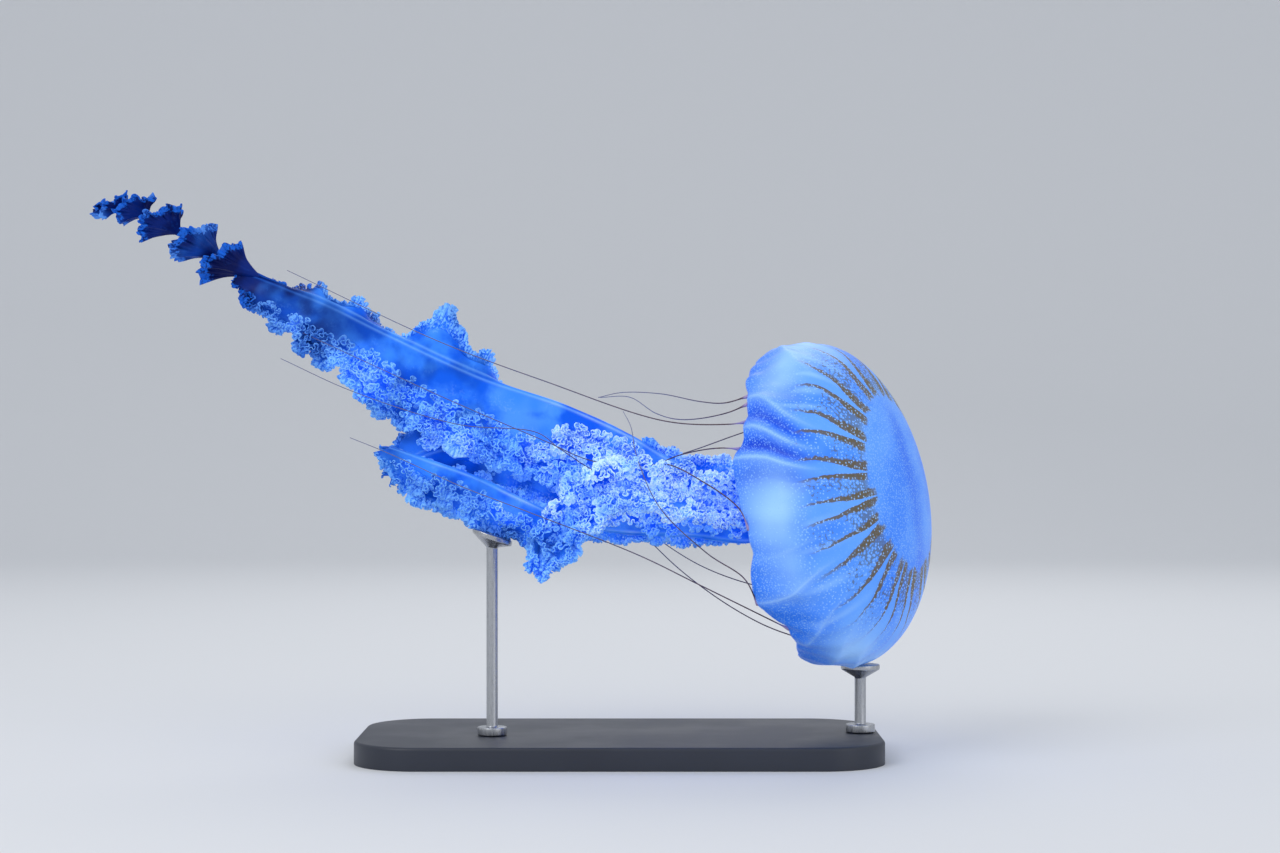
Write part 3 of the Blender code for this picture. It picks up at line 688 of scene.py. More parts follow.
def add_sheet(name, points, wall, bake_strips, edge, glow, rib=0.0, nodes=(), thick=None):
    """A sheet of arm jelly bent from a flat grid, with a wall of even or painted thickness.

    points is columns by rows by 3. The flat grid is also what the sheet's bake map unrolls to.
    """
    columns, rows = points.shape[:2]
    bm = bmesh.new()
    bmesh.ops.create_grid(bm, x_segments=columns - 1, y_segments=rows - 1, size=1)
    mesh = as_mesh(name, bm)
    flat = mesh_points(mesh)
    i = np.rint((flat[:, 0] + 1) / 2 * (columns - 1)).astype(int)
    j = np.rint((flat[:, 1] + 1) / 2 * (rows - 1)).astype(int)
    set_mesh_points(mesh, points[i, j])
    edge, rib, glow = (np.broadcast_to(each, (columns, rows))[i, j] for each in (edge, rib, glow))
    add_numbers(mesh, edge=edge, rib=rib, glow=glow)
    corners = np.empty(len(mesh.loops), np.int64)
    mesh.loops.foreach_get("vertex_index", corners)
    column, level = i[corners], j[corners]
    per_strip = math.ceil((columns - 1) / bake_strips)
    strip = np.repeat(column.reshape(-1, 4).min(1) // per_strip, 4)
    across = 0.02 + 0.96 * (column - strip * per_strip) / per_strip
    up = (strip + 0.08 + 0.84 * level / (rows - 1)) / bake_strips
    places = np.stack([across, up], axis=-1)
    mesh.uv_layers.new(name="OFBake").data.foreach_set("uv", places.ravel().astype(np.float32))
    piece = add_piece(name, mesh, arm_jelly.material, "arm_jelly", *nodes)
    shell = piece.modifiers.new("wall", "SOLIDIFY")
    shell.thickness = wall
    shell.offset = 0
    shell.use_even_offset = False
    if thick is not None:
        group = piece.vertex_groups.new(name="wall")
        weights = np.clip(np.rint(thick[i, j] / wall * 40) / 40, 0, 1)
        for weight in np.unique(weights):
            group.add(np.nonzero(weights == weight)[0].tolist(), float(weight), "REPLACE")
        shell.vertex_group = "wall"


def light_at(points):
    """The painted light an arm gets there: most beside the bell, and least in the tail and low down.
    """
    x = points[..., 0]
    low = eased(points[..., 2], 0.158, 0.128) * eased(x, -0.13, -0.07)
    return 0.1 + 0.5 * eased(x, -0.24, -0.145) + 0.4 * eased(x, -0.12, 0.03) - 0.3 * low


WEB_STEP = 1.7 * MM
WEB_ROWS = 14
RIB_ROWS = 8  # the rows over the rib are close together, for its two cords
RIB_ROW_STEP = 0.55 * MM
RIB_SHARE = 0.3  # the most of a wing's width that they take
BILLOW_HEIGHT = 1.3 * MM


def make_web(arm, shade):
    """Both wings' smooth webs and the rib between them, as one sheet."""
    distance = np.linspace(0, arm.length, int(arm.length / WEB_STEP))
    halves = []
    for side in (0, 1):
        wing = Wing(arm, side, distance)
        rows = []
        for k in range(RIB_ROWS + WEB_ROWS + 1):
            inner = np.minimum(k * RIB_ROW_STEP, wing.width * RIB_SHARE * k / RIB_ROWS)
            limit = np.minimum(RIB_ROWS * RIB_ROW_STEP, wing.width * RIB_SHARE)
            part = max(0, k - RIB_ROWS) / WEB_ROWS
            web = limit + (wing.width * arm.webs[side] - limit) * part
            across = inner if k <= RIB_ROWS else web
            share = across / wing.width
            billow = np.sin(distance / (9 * MM) + 5 * share + arm.phase)
            billow *= np.sin(distance / (23 * MM) - 3 * share)
            billow *= BILLOW_HEIGHT * wing.fullness * np.sin(math.pi * share)
            points = wing.at(share) + wing.face * billow[:, None]
            rows.append((points, share, across))
        halves.append(rows)
    both = halves[1][::-1] + halves[0][1:]
    points, share, across = (np.stack(each, axis=1) for each in zip(*both))
    rib = hump(across, RIB_LINE, RIB_HALF_WIDTH)
    thick = WEB_THICKNESS + (RIB_THICKNESS - WEB_THICKNESS) * rib
    edge = eased(share, 0.45, 1.1) * 0.55
    glow = light_at(points) * shade
    add_sheet(f"{arm.name}_web", points, RIB_THICKNESS, WEB_STRIPS, edge, glow, rib, arm.nodes, thick)


# A wandering phase keeps any two ruffles from being alike: (height, wave length in mm, seed's part).
DRIFT_WAVES = ((1.3, 11, 1), (0.9, 4.7, 2.1), (0.5, 29, 3.7))


def drift(distance, seed):
    return sum(high * np.sin(distance / (wave * MM) + part * seed) for high, wave, part in DRIFT_WAVES)


def normals_of(points):
    return unit(np.cross(np.gradient(points, axis=0), np.gradient(points, axis=1)) + 1e-12)


# The two finer orders of ruffle on a gathered edge: wave length, height and how fast it grows.
FINE_RUFFLES = ((6.0, 2.0, 1.5), (2.8, 1.25, 1.1))
TOOTH_LENGTH = 2.4 * MM  # a frill's very edge is cut into small blunt teeth
TOOTH_HEIGHT = 0.9 * MM
LOOP_LENGTH = 15  # a frill's broad loops, in millimetres
LOOP_DEPTH = 5.6
MARGIN_OVERHANG = 1.5 * MM  # how far a wing's own margin stands past its width
FRILL_SAMPLES = 9000  # fine steps along a frill's line, to measure its gathered edge by


def ruffled(points, length, shares, size, small, seed):
    """A strip of points with finer ruffles that grow across it, where length runs along its edge."""
    for order, (wave, height, grow) in enumerate(FINE_RUFFLES):
        wave = wave * (0.6 + 0.4 * small) * MM
        phase = 2 * math.pi * length / wave + drift(length * (1 + 1.2 * order), seed + 5 * order)
        swell = (height * MM * size)[:, None] * shares[None, :] ** grow
        normal = normals_of(points)
        ahead = unit(np.gradient(points, axis=0) + 1e-12)
        points = points + normal * (swell * np.sin(phase)[:, None])[..., None]
        points = points - ahead * (swell * 0.4 * np.sin(2 * phase)[:, None])[..., None]
    return points


def toothed(points, length, height, seed):
    """The strip with small blunt teeth along its edge."""
    tooth = 0.5 + 0.5 * np.sin(2 * math.pi * length / TOOTH_LENGTH + drift(1.5 * length, seed + 9))
    outward = unit(points[:, -1] - points[:, -3]) * (height * tooth)[:, None]
    points[:, -1] += outward
    points[:, -2] += 0.45 * outward
    return points


def make_frill(
    arm, number, side, line, tilt, band, start, end, shade, loops=LOOP_LENGTH, curl=LOOP_DEPTH
):
    """A gathered frill that grows from a line on a wing, in broad loops with finer ruffles."""
    seed = 1.7 * number + 2.3 * side + arm.phase
    lean = math.radians(tilt)
    fine = np.linspace(start, end, FRILL_SAMPLES) * arm.length

    def base(distance):
        """Where the frill starts, its directions, how tall it is and how full its loops are."""
        wing = Wing(arm, side, distance)
        out = wing.out * math.cos(lean) + wing.face * math.sin(lean)
        lift = wing.face * math.cos(lean) - wing.out * math.sin(lean)
        part = (distance / arm.length - start) / (end - start)
        ends = eased(part, 0, 0.05) * eased(part, 1, 0.97)
        if band is None:
            tall = wing.width * (1 - line) + MARGIN_OVERHANG * wing.fullness
        else:
            tall = band * MM * wing.fullness
        clump = np.sin(distance / (2.9 * MM) + seed) + np.sin(distance / (7.1 * MM) + 2 * seed)
        tall = tall * (0.35 + 0.65 * ends) * (1 + 0.2 * clump)
        return wing.at(line), out, lift, wing.ahead, tall, wing.fullness * (0.3 + 0.7 * ends)

    def gathered(distance, share):
        """The frill's points at this share of its height, with the broad loops alone."""
        foot, out, lift, ahead, tall, full = base(distance)
        phase = 2 * math.pi * distance / (loops * MM) + 0.7 * drift(distance, seed)
        size = full * curl * MM * (0.8 + 0.35 * np.sin(distance / (17 * MM) + 2 * seed)) * share**1.3
        loop = lift * (size * np.sin(phase))[:, None]
        lean_back = ahead * (size * 0.42 * np.sin(2 * phase))[:, None]
        return foot + out * (tall * share)[:, None] + loop - lean_back

    marks = marks_along(gathered(fine, 1.0))
    small = np.clip(np.interp(0.5 * marks[-1], marks, base(fine)[5]) + 0.25, 0.45, 1.0)
    columns = int(marks[-1] * (1 + 1.5 * small) / FRILL_STEP)
    length = np.linspace(0, marks[-1], columns)
    distance = np.interp(length, marks, fine)
    shares = np.linspace(0, 1, FRILL_ROWS)
    points = np.stack([gathered(distance, share) for share in shares], axis=1)
    points = ruffled(points, length, shares, 0.4 + 0.6 * base(distance)[5], small, seed)
    points = toothed(points, length, TOOTH_HEIGHT, seed)
    # A frill's own jelly pales towards its margin; its foot is darker, as painted shade in the deep
    # gaps.
    edge = 0.16 + 0.84 * shares**0.7
    glow = light_at(points) * shade
    add_sheet(f"{arm.name}_frill_{number:02d}", points, FRILL_THICKNESS, FRILL_STRIPS, edge, glow)


# The jelly's colours in painted shade, in middling painted light and in full painted light.
CLEAR_BLUES = (tint(2, 14, 70), tint(12, 86, 214), tint(14, 92, 222))
CLOUDY_BLUES = (tint(4, 34, 112), tint(62, 140, 244), tint(96, 164, 250))
PALE_BLUES = (tint(24, 92, 196), tint(134, 196, 252), tint(216, 244, 255))
ARM_GLOW = tint(2, 108, 248)

arm_jelly = Recipe("arm_jelly", 0.4, 0.1)
# Painted light on the arms: a level on each vertex, uneven at random, picks shaded or lit colours.
glow = arm_jelly.rise(arm_jelly.noise(32.0, 2.0), 0.36, 0.64, -0.22, 0.14)
glow += arm_jelly.number("glow")
half_lit = arm_jelly.rise(glow, 0.08, 0.6)
full_lit = arm_jelly.rise(glow, 0.55, 1.1)


def lit(dark, middle, light):
    """The jelly's colour from painted shade through middling to full painted light."""
    return arm_jelly.blend(full_lit, arm_jelly.blend(half_lit, dark, middle), light)


clouds = arm_jelly.rise(arm_jelly.noise(42.0, 4.0), 0.38, 0.6)
colour = arm_jelly.blend(clouds * 0.85, lit(*CLEAR_BLUES), lit(*CLOUDY_BLUES))
pale = lit(*PALE_BLUES)
grains = arm_jelly.rise(arm_jelly.noise(640.0, 2.0), 0.4, 0.6, -0.5, 0.12)
patches = arm_jelly.rise(arm_jelly.noise(85.0, 2.0), 0.36, 0.64, -0.2, 0.16)
# Where the painted light is full, the jelly is also painted a little paler.
lightness = arm_jelly.number("edge") + grains + patches + full_lit * 0.06
colour = arm_jelly.blend(arm_jelly.rise(lightness, 0.16, 0.9), colour, pale)
colour = arm_jelly.blend(arm_jelly.number("rib") * 0.42, colour, pale)
arm_jelly.feed("Base Color", colour)
# A faint painted glow, bluer where the painted light is higher, keeps the shaded jelly bright.
painted_glow = arm_jelly.blend(0.55, colour, ARM_GLOW)
arm_jelly.feed("Emission Color", arm_jelly.blend(half_lit, colour, painted_glow))
arm_jelly.shader.inputs["Emission Strength"].default_value = 0.26
arm_jelly.bump(arm_jelly.noise(300.0, 3.0), 0.2 * MM)

arm_top = Arm(
    "arm_top",
    phase=0.0,
    root=(ARM_OFFSET, 0),
    route=[
        (50, 14, 173), (29, 16, 184), (7, 16, 197), (-32, 12, 215), (-84, 9, 233), (-139, 4, 258),
        (-184, 1, 280), (-225, 0, 296), (-247, 0, 307), (-272, 0, 322), (-292, 0, 333),
        (-307, 0, 338), (-325, 0, 336),
    ],
    turns=[
        [(0, 38), (0.12, 8), (0.3, 10), (0.7, 14), (1, 14)],
        [
            (0, -42), (0.12, -62), (0.4, -75), (0.45, -155), (0.49, -178), (0.53, -172),
            (0.57, -110), (0.6, -110), (0.63, -155), (0.66, -158), (0.7, -105), (0.72, -105),
            (0.77, -166), (1, -166),
        ],
    ],
    widths=[
        [
            (0, 9), (0.12, 30), (0.3, 47), (0.53, 46), (0.63, 31), (0.73, 22), (0.765, 14),
            (0.79, 2.4), (1, 1),
        ],
        [
            (0, 9), (0.2, 15), (0.4, 20), (0.43, 16), (0.46, 15), (0.512, 27), (0.535, 18),
            (0.55, 4), (0.575, 4), (0.595, 13), (0.62, 13), (0.65, 5), (0.665, 5), (0.683, 15),
            (0.697, 13), (0.715, 3), (0.76, 2.4), (1, 1),
        ],
    ],
    lengths=4,
    sweep=(0.66, 0.78, 40),
    webs=(0.86, 0.62),
)
arm_foot = Arm(
    "arm_foot",
    phase=1.3,
    root=(-ARM_OFFSET, 0),
    route=[
        (81, 5, 131), (43, 0, 135), (-5, -4, 138), (-33, -6, 146), (-61, -8, 159), (-88, -9, 172),
        (-116, -9, 182), (-140, -8, 190),
    ],
    turns=[
        [(0, 142), (0.12, 168), (0.42, 165), (0.56, 35), (0.7, 15), (1, 4)],
        [(0, -142), (0.15, -98), (0.5, -88), (0.7, -70), (1, -60)],
    ],
    widths=[
        [(0, 9), (0.15, 18), (0.3, 24), (0.45, 20), (0.65, 26), (0.85, 28), (1, 14)],
        [(0, 9), (0.2, 14), (0.6, 20), (0.85, 22), (1, 12)],
    ],
    lengths=3,
)
arm_near = Arm(
    "arm_near",
    phase=2.2,
    root=(0, ARM_OFFSET),
    route=[
        (80, -16, 154), (49, -30, 160), (21, -40, 165), (2, -46, 167), (-12, -49, 164),
        (-22, -50, 155), (-32, -49, 143), (-40, -47, 133), (-46, -44, 122),
    ],
    turns=[[(0, 150), (0.3, 140), (0.8, 135), (1, 112)], [(0, 35), (0.3, 48), (0.8, 50), (1, 66)]],
    widths=[
        [(0, 9), (0.2, 20), (0.6, 21), (0.86, 21), (0.95, 18), (1, 8)],
        [(0, 9), (0.2, 18), (0.6, 20), (0.86, 22), (0.95, 19), (1, 8)],
    ],
    lengths=2,
)
arm_far = Arm(
    "arm_far",
    phase=3.9,
    root=(0, -ARM_OFFSET),
    route=[
        (82, 32, 155), (44, 42, 160), (0, 46, 169), (-38, 46, 180), (-77, 44, 190), (-105, 40, 191),
        (-130, 36, 183), (-144, 33, 172),
    ],
    turns=[[(0, -5), (0.3, -12), (1, -8)], [(0, -165), (0.3, -168), (1, -170)]],
    widths=[
        [(0, 9), (0.2, 28), (0.4, 34), (0.6, 28), (0.85, 26), (1, 8)],
        [(0, 9), (0.2, 24), (0.5, 26), (0.85, 24), (1, 8)],
    ],
    lengths=3,
)
# The far arm gets less painted light: painted shade behind the others.
for arm, shade in ((arm_top, 1.0), (arm_foot, 1.0), (arm_near, 1.0), (arm_far, 0.85)):
    make_web(arm, shade)

# Each frill: (wing, line it grows from, tilt from the wing, height in mm, start, end, shade). The
# shade scales its painted light: below 1 is painted shade and above 1 a painted highlight. A
# height of None is a wing's own margin, and the others stand on the wing's two faces. A frill may
# end with the length and depth of its own loops, in mm.
FRILLS = {
    arm_top: [
        (0, 0.80, 0, None, 0.02, 0.785, 1.0), (1, 0.50, 0, None, 0.02, 0.74, 0.8),
        (0, 0.62, 60, 9, 0.12, 0.70, 0.95), (0, 0.82, 75, 8, 0.10, 0.75, 1.0),
        (0, 0.50, 65, 6, 0.40, 0.60, 0.9), (0, 0.28, 80, 11, 0.19, 0.315, 1.1, 12, 6.5),
        (0, 0.48, 80, 14, 0.18, 0.32, 1.1, 12, 7), (0, 0.93, 40, 8, 0.14, 0.72, 1.0),
        (0, 0.72, -65, 8, 0.10, 0.70, 0.9), (0, 0.45, -65, 8, 0.36, 0.62, 0.9),
    ],
    arm_foot: [
        (0, 0.78, 0, None, 0.03, 1.0, 1.0), (1, 0.74, 0, None, 0.03, 1.0, 0.9),
        (0, 0.66, 65, 8, 0.10, 0.97, 1.0), (0, 0.66, -65, 8, 0.10, 0.97, 0.9),
        (1, 0.50, 65, 8, 0.10, 0.97, 0.9), (1, 0.60, -65, 8, 0.10, 0.97, 0.9),
        (0, 0.42, 60, 7, 0.5, 0.95, 1.0), (0, 0.38, -70, 7, 0.08, 0.52, 1.0),
        (0, 0.18, -70, 9, 0.29, 0.38, 1.1, 12, 6), (1, 0.20, 80, 10, 0.2, 0.52, 1.0, 12, 6),
    ],
    arm_near: [
        (0, 0.74, 0, None, 0.03, 1.0, 1.0), (1, 0.74, 0, None, 0.03, 1.0, 1.0),
        (0, 0.12, -75, 8, 0.10, 0.99, 1.0), (0, 0.34, -65, 9, 0.06, 0.99, 1.0),
        (0, 0.62, -60, 9, 0.06, 0.99, 1.0), (0, 0.86, -50, 8, 0.06, 0.99, 1.0),
        (1, 0.12, 75, 8, 0.10, 0.99, 1.0), (1, 0.34, 65, 9, 0.06, 0.99, 1.0),
        (1, 0.62, 60, 9, 0.06, 0.99, 1.0), (1, 0.86, 50, 8, 0.06, 0.99, 1.0),
        (1, 0.60, -65, 8, 0.08, 0.98, 1.0),
    ],
    arm_far: [
        (0, 0.78, 0, None, 0.03, 1.0, 0.8), (1, 0.76, 0, None, 0.03, 1.0, 0.8),
        (0, 0.66, -65, 8, 0.10, 0.97, 0.8), (0, 0.40, -65, 8, 0.14, 0.92, 0.8),
        (1, 0.66, 65, 8, 0.10, 0.96, 0.8), (1, 0.38, 65, 8, 0.18, 0.88, 0.8),
    ],
}
for arm, frills in FRILLS.items():
    for number, frill in enumerate(frills, start=1):
        make_frill(arm, number, *frill)

# The long arm's tail: six thin funnels threaded on its rib, each flared towards the tip like a
# trumpet and lacy at its edge. (share of the arm at its apex, length, lean, bulge, radius) in mm.
FANS = [
    (0.757, 23, 6, 4, 10.5),
    (0.812, 18, 4, 6, 11),
    (0.877, 11, 5, 7, 11),
    (0.925, 7, 4, 7, 8.5),
    (0.958, 5, 5, 4, 6.5),
    (0.982, 4, 2, 2, 3.6),
]
FAN_SPREAD = math.radians(325)  # how far round the rib a fan reaches, open on the far side
FAN_ROWS = 13
LACE_ROWS = 4


def make_fan(arm, number, share, length, lean, bulge, radius):
    """One funnel of the tail, from its apex on the rib to its lacy rim."""
    seed = 2.9 * number
    apex = arm.route.at(share * arm.length)
    ahead = arm.route.heading(np.array([share * arm.length]), 5 * MM)[0]
    near, below = square_to(ahead)
    edge = 5.2 * radius * MM  # the rim's length before it is laced
    columns = int(edge * 3.2 / FRILL_STEP)
    turn = np.linspace(-0.5, 0.5, columns) * FAN_SPREAD
    rows = np.concatenate([np.linspace(0, 1, FAN_ROWS), 1 + 0.045 * np.arange(1, LACE_ROWS + 1)])
    out = near[None] * np.cos(turn)[:, None] - below[None] * np.sin(turn)[:, None]
    forward = length - lean * np.sin(turn) + bulge * np.cos(turn) ** 2
    points = []
    for part in rows:
        folds = 1 + 0.16 * part**2 * np.sin(5 * turn + seed) + 0.08 * part**2 * np.sin(11 * turn)
        flare = (0.9 + (radius - 0.9) * part**1.25) * folds * MM
        along = (forward * part + 1.2 * part**2 * np.sin(7 * turn + seed)) * MM
        points.append(apex + out * flare[:, None] + ahead * along[:, None])
    points = np.stack(points, axis=1)
    laced = eased(rows, 0.6, 1.15)
    size = np.full(columns, 0.3 + 0.035 * radius)
    marks = np.linspace(0, edge, columns)
    points = toothed(ruffled(points, marks, laced, size, 0.55, seed), marks, 1.3 * MM, seed)
    lace = eased(rows, 0.94, 1.08)
    # The fans get a little more painted light.
    glow = light_at(points) + 0.05
    add_sheet(f"{arm.name}_fan_{number}", points, FRILL_THICKNESS, FAN_STRIPS, lace, glow)


for number, fan in enumerate(FANS, start=1):
    make_fan(arm_top, number, *fan)

# ---------------------------------------------------------------- the mouth stalk
# A short, four-sided stalk of the same thick jelly hangs from the middle of the bell's inner
# face, and the four arms leave its corners. It is turned in one piece and then lobed.
STALK_ROOT_RADIUS = 32 * MM
STALK_RADIUS = 17 * MM
MOUTH_RADIUS = 19 * MM
STALK_LOBE = 0.10
STALK_OVERLAP = 0.4 * MM  # how deep the stalk's root is set in the bell


def ceiling(radius):
    """How high above the bell's widest ring its inner face is at this radius."""
    faces = [dome_point(math.radians(polar), 1) for polar in range(0, 60)]
    return float(np.interp(radius, *zip(*faces)))


root_radii = [STALK_ROOT_RADIUS * k / 8 for k in range(9)]
stalk_profile = [(radius, ceiling(radius) + STALK_OVERLAP) for radius in root_radii]
shoulder = stalk_profile[-1][1]
for k in range(1, 25):
    drop = k / 24
    swell = (STALK_ROOT_RADIUS - STALK_RADIUS) * (1 - drop) ** 4
    lip = (MOUTH_RADIUS - STALK_RADIUS) * drop**6
    height = shoulder + (-MOUTH_DEPTH - shoulder) * drop
    stalk_profile.append((STALK_RADIUS + swell + lip, height))
stalk_profile += [
    (MOUTH_RADIUS * 0.96, -MOUTH_DEPTH - 0.2 * MM),
    (MOUTH_RADIUS * 0.8, -MOUTH_DEPTH + 0.4 * MM),
    (MOUTH_RADIUS * 0.4, -MOUTH_DEPTH + 2.5 * MM),
    (0.0, -MOUTH_DEPTH + 3.5 * MM),
]
stalk_mesh = as_mesh("mouth_stalk", turned(stalk_profile, 120))
local = mesh_points(stalk_mesh)
turn = np.arctan2(local[:, 1], local[:, 0])
lobed = eased(local[:, 2], shoulder, shoulder - 12 * MM)
swell = 1 + lobed * (STALK_LOBE * np.cos(4 * turn) + 0.02 * np.sin(23 * turn + 400 * local[:, 2]))
local[:, :2] *= swell[:, None]
set_mesh_points(stalk_mesh, local @ np.array(BELL_TURN).T + np.array(BELL_CENTRE))
# The stalk gets an even painted light a little below full.
add_numbers(stalk_mesh, edge=0.25 * lobed, rib=0.0, glow=0.8)
add_piece("mouth_stalk", stalk_mesh, arm_jelly.material, "arm_jelly", "manubrium")

# ---------------------------------------------------------------- the tentacles
# Long, fine threads that leave the notches between the bell's lappets and thin out towards
# their tips. They are dark at the root, and each is a tube drawn along a smooth route.
THREAD_ROOT = 1.2 * MM  # a thread's radius where it leaves the bell
THREAD_BODY = 0.4 * MM
THREAD_TIP = 0.2 * MM
THREAD_STEP = 1.6 * MM
THREAD_SIDES = 8
FAR_TRAIL = 230 * MM
FAR_DEPTH = 88 * MM
FAR_RISE = 0.36
FAR_SWAY = 6 * MM

# The near threads, as (azimuth of the root in degrees, route after the root in millimetres).
NEAR_TENTACLES = [
    (-54, [(64, -34, 217), (49, -14, 218), (25, 8, 223), (1, 24, 224), (-14, 34, 221)]),
    (-50, [(65, -40, 211), (37, -6, 207), (22, 8, 211), (6, 20, 221), (-13, 32, 221)]),
    (-41, [(64, -62, 204), (27, -50, 206), (-45, -38, 230), (-109, -30, 254), (-203, -17, 298)]),
    (-30, [
        (60, -68, 190), (38, -36, 186), (14, -18, 178), (-18, -16, 182), (-46, -20, 194),
        (-102, -20, 218), (-194, -14, 260),
    ]),
    (2, [
        (70, -80, 155), (48, -68, 171), (29, -54, 180), (14, -32, 176), (-8, -24, 173),
        (-36, -26, 189), (-50, -28, 199), (-98, -28, 204), (-162, -26, 224), (-206, -24, 244),
    ]),
    (31, [
        (73, -76, 114), (52, -74, 128), (24, -72, 155), (11, -62, 183), (7, -36, 202),
        (2, -8, 212),
    ]),
    (47, [
        (47, -78, 110), (12, -76, 127), (-52, -74, 152), (-93, -62, 167), (-139, -46, 187),
        (-162, -40, 196),
    ]),
]
FAR_AZIMUTHS = (100, 135, 170, -140)


def from_bell(radius, azimuth, height):
    """A place in space from the bell's own: azimuth 0 is near, and 90 degrees is below."""
    across = NEAR_AXIS * math.cos(azimuth) - TOP_AXIS * math.sin(azimuth)
    return np.array(BELL_CENTRE + across * radius + CROWN_AXIS * height)


def rim_place(azimuth):
    """The middle of the bell's folded rim at this azimuth."""
    fold = float(pleat_relief(np.array([azimuth]), np.array([110.0]))[0][0])
    height = -SKIRT_DEPTH - float(rim_drop(np.array([azimuth]))[0])
    return from_bell(RIM_RADIUS - RIM_THICKNESS / 2 + fold, azimuth, height)


def far_route(azimuth):
    """A trailing route behind the arms, drawn in towards them from the rim."""
    start = from_bell(RIM_RADIUS, azimuth, -SKIRT_DEPTH)
    points = []
    for share in (0.2, 0.4, 0.6, 0.8, 1.0):
        drawn = float(eased(share, 0, 0.9))
        height = 0.15 + 0.045 * math.cos(azimuth) + FAR_RISE * FAR_TRAIL * share
        sway = FAR_SWAY * math.sin(azimuth + 4.2 * share)
        x = start[0] - FAR_TRAIL * share
        y = start[1] + (FAR_DEPTH - start[1]) * drawn + sway
        points.append((x, y, start[2] + (height - start[2]) * drawn + sway))
    return points


ROOT_BROWN = tint(62, 34, 44)
TIP_GREY = tint(84, 96, 140)
FLECK_GREY = tint(120, 96, 110)
RIM_VIOLET = tint(168, 150, 196)

thread = Recipe("tentacle_thread", 0.42)
along = thread.number("along")
flecks = thread.rise(thread.noise(500.0, 2.0), 0.35, 0.7, 0.0, 0.45)
colour = thread.blend(thread.rise(along, 0.0, 0.8), ROOT_BROWN, TIP_GREY)
colour = thread.blend(flecks, colour, FLECK_GREY)
thread.feed("Base Color", thread.blend(thread.rise(along, 0.045, 0.01), colour, RIM_VIOLET))
thread.bump(thread.noise(900.0, 2.0), 0.1 * MM)


def make_thread(name, azimuth, points):
    """One tentacle, drawn as a fine tube from the bell's rim to its tip."""
    route = Route([rim_place(azimuth), *points])
    distance = np.linspace(0, route.length, int(route.length / THREAD_STEP))
    share = distance / route.length
    radius = THREAD_BODY + (THREAD_TIP - THREAD_BODY) * share
    radius += (THREAD_ROOT - THREAD_BODY) * eased(distance, 9 * MM, 0) ** 2
    ahead = route.heading(distance, 2 * MM)
    near, below = square_to(ahead)
    turns = 2 * math.pi * np.arange(THREAD_SIDES + 1) / THREAD_SIDES
    ring = near[:, None] * np.cos(turns)[None, :, None] + below[:, None] * np.sin(turns)[None, :, None]
    tube = route.at(distance)[:, None] + ring * radius[:, None, None]
    bm = bmesh.new()
    layer = bm.verts.layers.float.new("along")
    bmesh.ops.create_grid(bm, x_segments=len(distance) - 1, y_segments=THREAD_SIDES, size=1)
    for vert in bm.verts:
        i = round((vert.co.x + 1) / 2 * (len(distance) - 1))
        vert[layer] = share[i]
        vert.co = tube[i, round((vert.co.y + 1) / 2 * THREAD_SIDES)]
    bmesh.ops.remove_doubles(bm, verts=bm.verts, dist=0.01 * MM)
    bmesh.ops.holes_fill(bm, edges=[e for e in bm.edges if e.is_boundary])
    bmesh.ops.recalc_face_normals(bm, faces=bm.faces)
    mesh = as_mesh(name, bm)
    add_piece(name, mesh, thread.material, "tentacle_thread", f"{name}_root", f"{name}_tip")


routes = [(math.radians(a), [tuple(c * MM for c in p) for p in route]) for a, route in NEAR_TENTACLES]
routes += [(math.radians(a), far_route(math.radians(a))) for a in FAR_AZIMUTHS]
for number, (azimuth, points) in enumerate(routes, start=1):
    make_thread(f"tentacle_{number:02d}", azimuth, points)

# ---------------------------------------------------------------- the stand
# A heavy plate with rounded corners carries two turned steel rods with round rest pads, one under
# the bell and one under the foot arm. Plate and rods are separate pieces, screwed from below.
BASE_CORNER = 40 * MM
BASE_CHAMFER = 2 * MM
ROD_RADIUS = 3.5 * MM
COLLAR_RADIUS = 9 * MM
COLLAR_HEIGHT = 5 * MM
PAD_RADIUS = 12 * MM
PAD_THICKNESS = 3 * MM
ARM_PAD_SLOPE = -0.35

base_low, base_high = (Vector(corner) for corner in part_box("stand_base"))
bm = bmesh.new()
bmesh.ops.create_cube(bm, size=1)
bmesh.ops.scale(bm, vec=base_high - base_low, verts=bm.verts)
bmesh.ops.translate(bm, vec=(base_high + base_low) / 2, verts=bm.verts)
upright = [e for e in bm.edges if abs(e.verts[0].co.z - e.verts[1].co.z) > MM]
bmesh.ops.bevel(
    bm, geom=upright, offset=BASE_CORNER, segments=32, profile=0.5, affect="EDGES", material=-1
)
rim = [e for e in bm.edges if min(v.co.z for v in e.verts) > base_high.z - MM]
bmesh.ops.bevel(
    bm, geom=rim, offset=BASE_CHAMFER, segments=5, profile=0.5, affect="EDGES", material=-1
)
base_mesh = as_mesh("stand_plate", bm)

plate = Recipe("stand_plate", 0.42)
cloud = plate.noise(16.0, 3.0)
plate.feed("Base Color", plate.blend(cloud, tint(30, 34, 46), tint(42, 48, 62)))
plate.feed("Roughness", plate.rise(cloud, 0.3, 0.7, 0.38, 0.5))
plate.bump(plate.noise(420.0, 4.0), 0.08 * MM, 0.35)
add_piece("stand_plate", base_mesh, plate.material, "stand_plate", "stand_base")
base_mesh.set_sharp_from_angle(angle=math.radians(35))

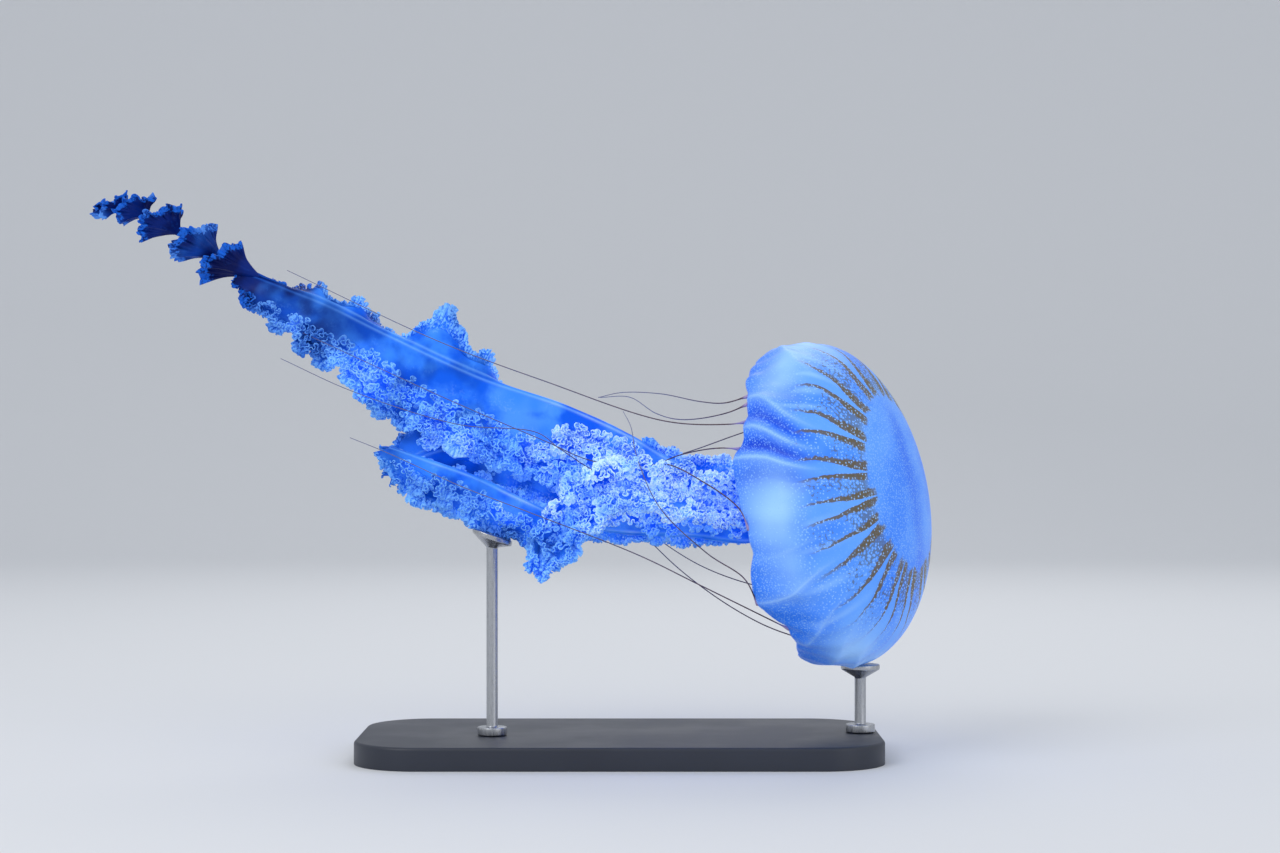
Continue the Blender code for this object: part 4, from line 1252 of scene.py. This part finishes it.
steel = Recipe("stand_steel", 0.3)
steel.shader.inputs["Metallic"].default_value = 1.0
stretched = steel.add("ShaderNodeMapping", 0, {0: steel.place, 3: (1.0, 1.0, 0.06)})
brushing = steel.noise(2600.0, 3.0, stretched)
steel.feed("Base Color", steel.blend(brushing, tint(150, 152, 156), tint(196, 198, 202)))
steel.feed("Roughness", steel.rise(brushing, 0.3, 0.7, 0.24, 0.4))
steel.bump(brushing, 0.03 * MM, 0.3)


def rounded(corners, radius, steps=4):
    """An outline of (radius, height) corners with each inner corner turned round."""
    made = [corners[0]]
    for before, corner, after in zip(corners, corners[1:], corners[2:]):
        before, corner, after = Vector(before), Vector(corner), Vector(after)
        start = corner + (before - corner).normalized() * radius
        end = corner + (after - corner).normalized() * radius
        for k in range(steps + 1):
            t = k / steps
            made.append(tuple(start * (1 - t) ** 2 + corner * 2 * t * (1 - t) + end * t * t))
    return made + [corners[-1]]


def make_rod(node, slope):
    """A turned rod, its collar at the foot and its pad on top, which leans by the slope."""
    low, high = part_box(node)
    centre = ((low[0] + high[0]) / 2, (low[1] + high[1]) / 2)
    top = high[2] - abs(slope) * PAD_RADIUS
    corners = [
        (0.0, low[2]),
        (COLLAR_RADIUS, low[2]),
        (COLLAR_RADIUS, low[2] + COLLAR_HEIGHT),
        (ROD_RADIUS, low[2] + COLLAR_HEIGHT),
        (ROD_RADIUS, top - PAD_THICKNESS - 5 * MM),
        (PAD_RADIUS, top - PAD_THICKNESS),
        (PAD_RADIUS, top),
        (0.0, top),
    ]
    bm = turned(rounded(corners, 0.8 * MM), 64)
    for vert in bm.verts:
        leaning = eased(vert.co.z, top - PAD_THICKNESS - 7 * MM, top - PAD_THICKNESS)
        vert.co.z += slope * vert.co.x * float(leaning)
        vert.co.x += centre[0]
        vert.co.y += centre[1]
    mesh = as_mesh(node, bm)
    add_piece(f"{node}_turned", mesh, steel.material, "stand_steel", node)
    mesh.set_sharp_from_angle(angle=math.radians(40))


make_rod("stand_bell_rod", 0.0)
make_rod("stand_arm_rod", ARM_PAD_SLOPE)
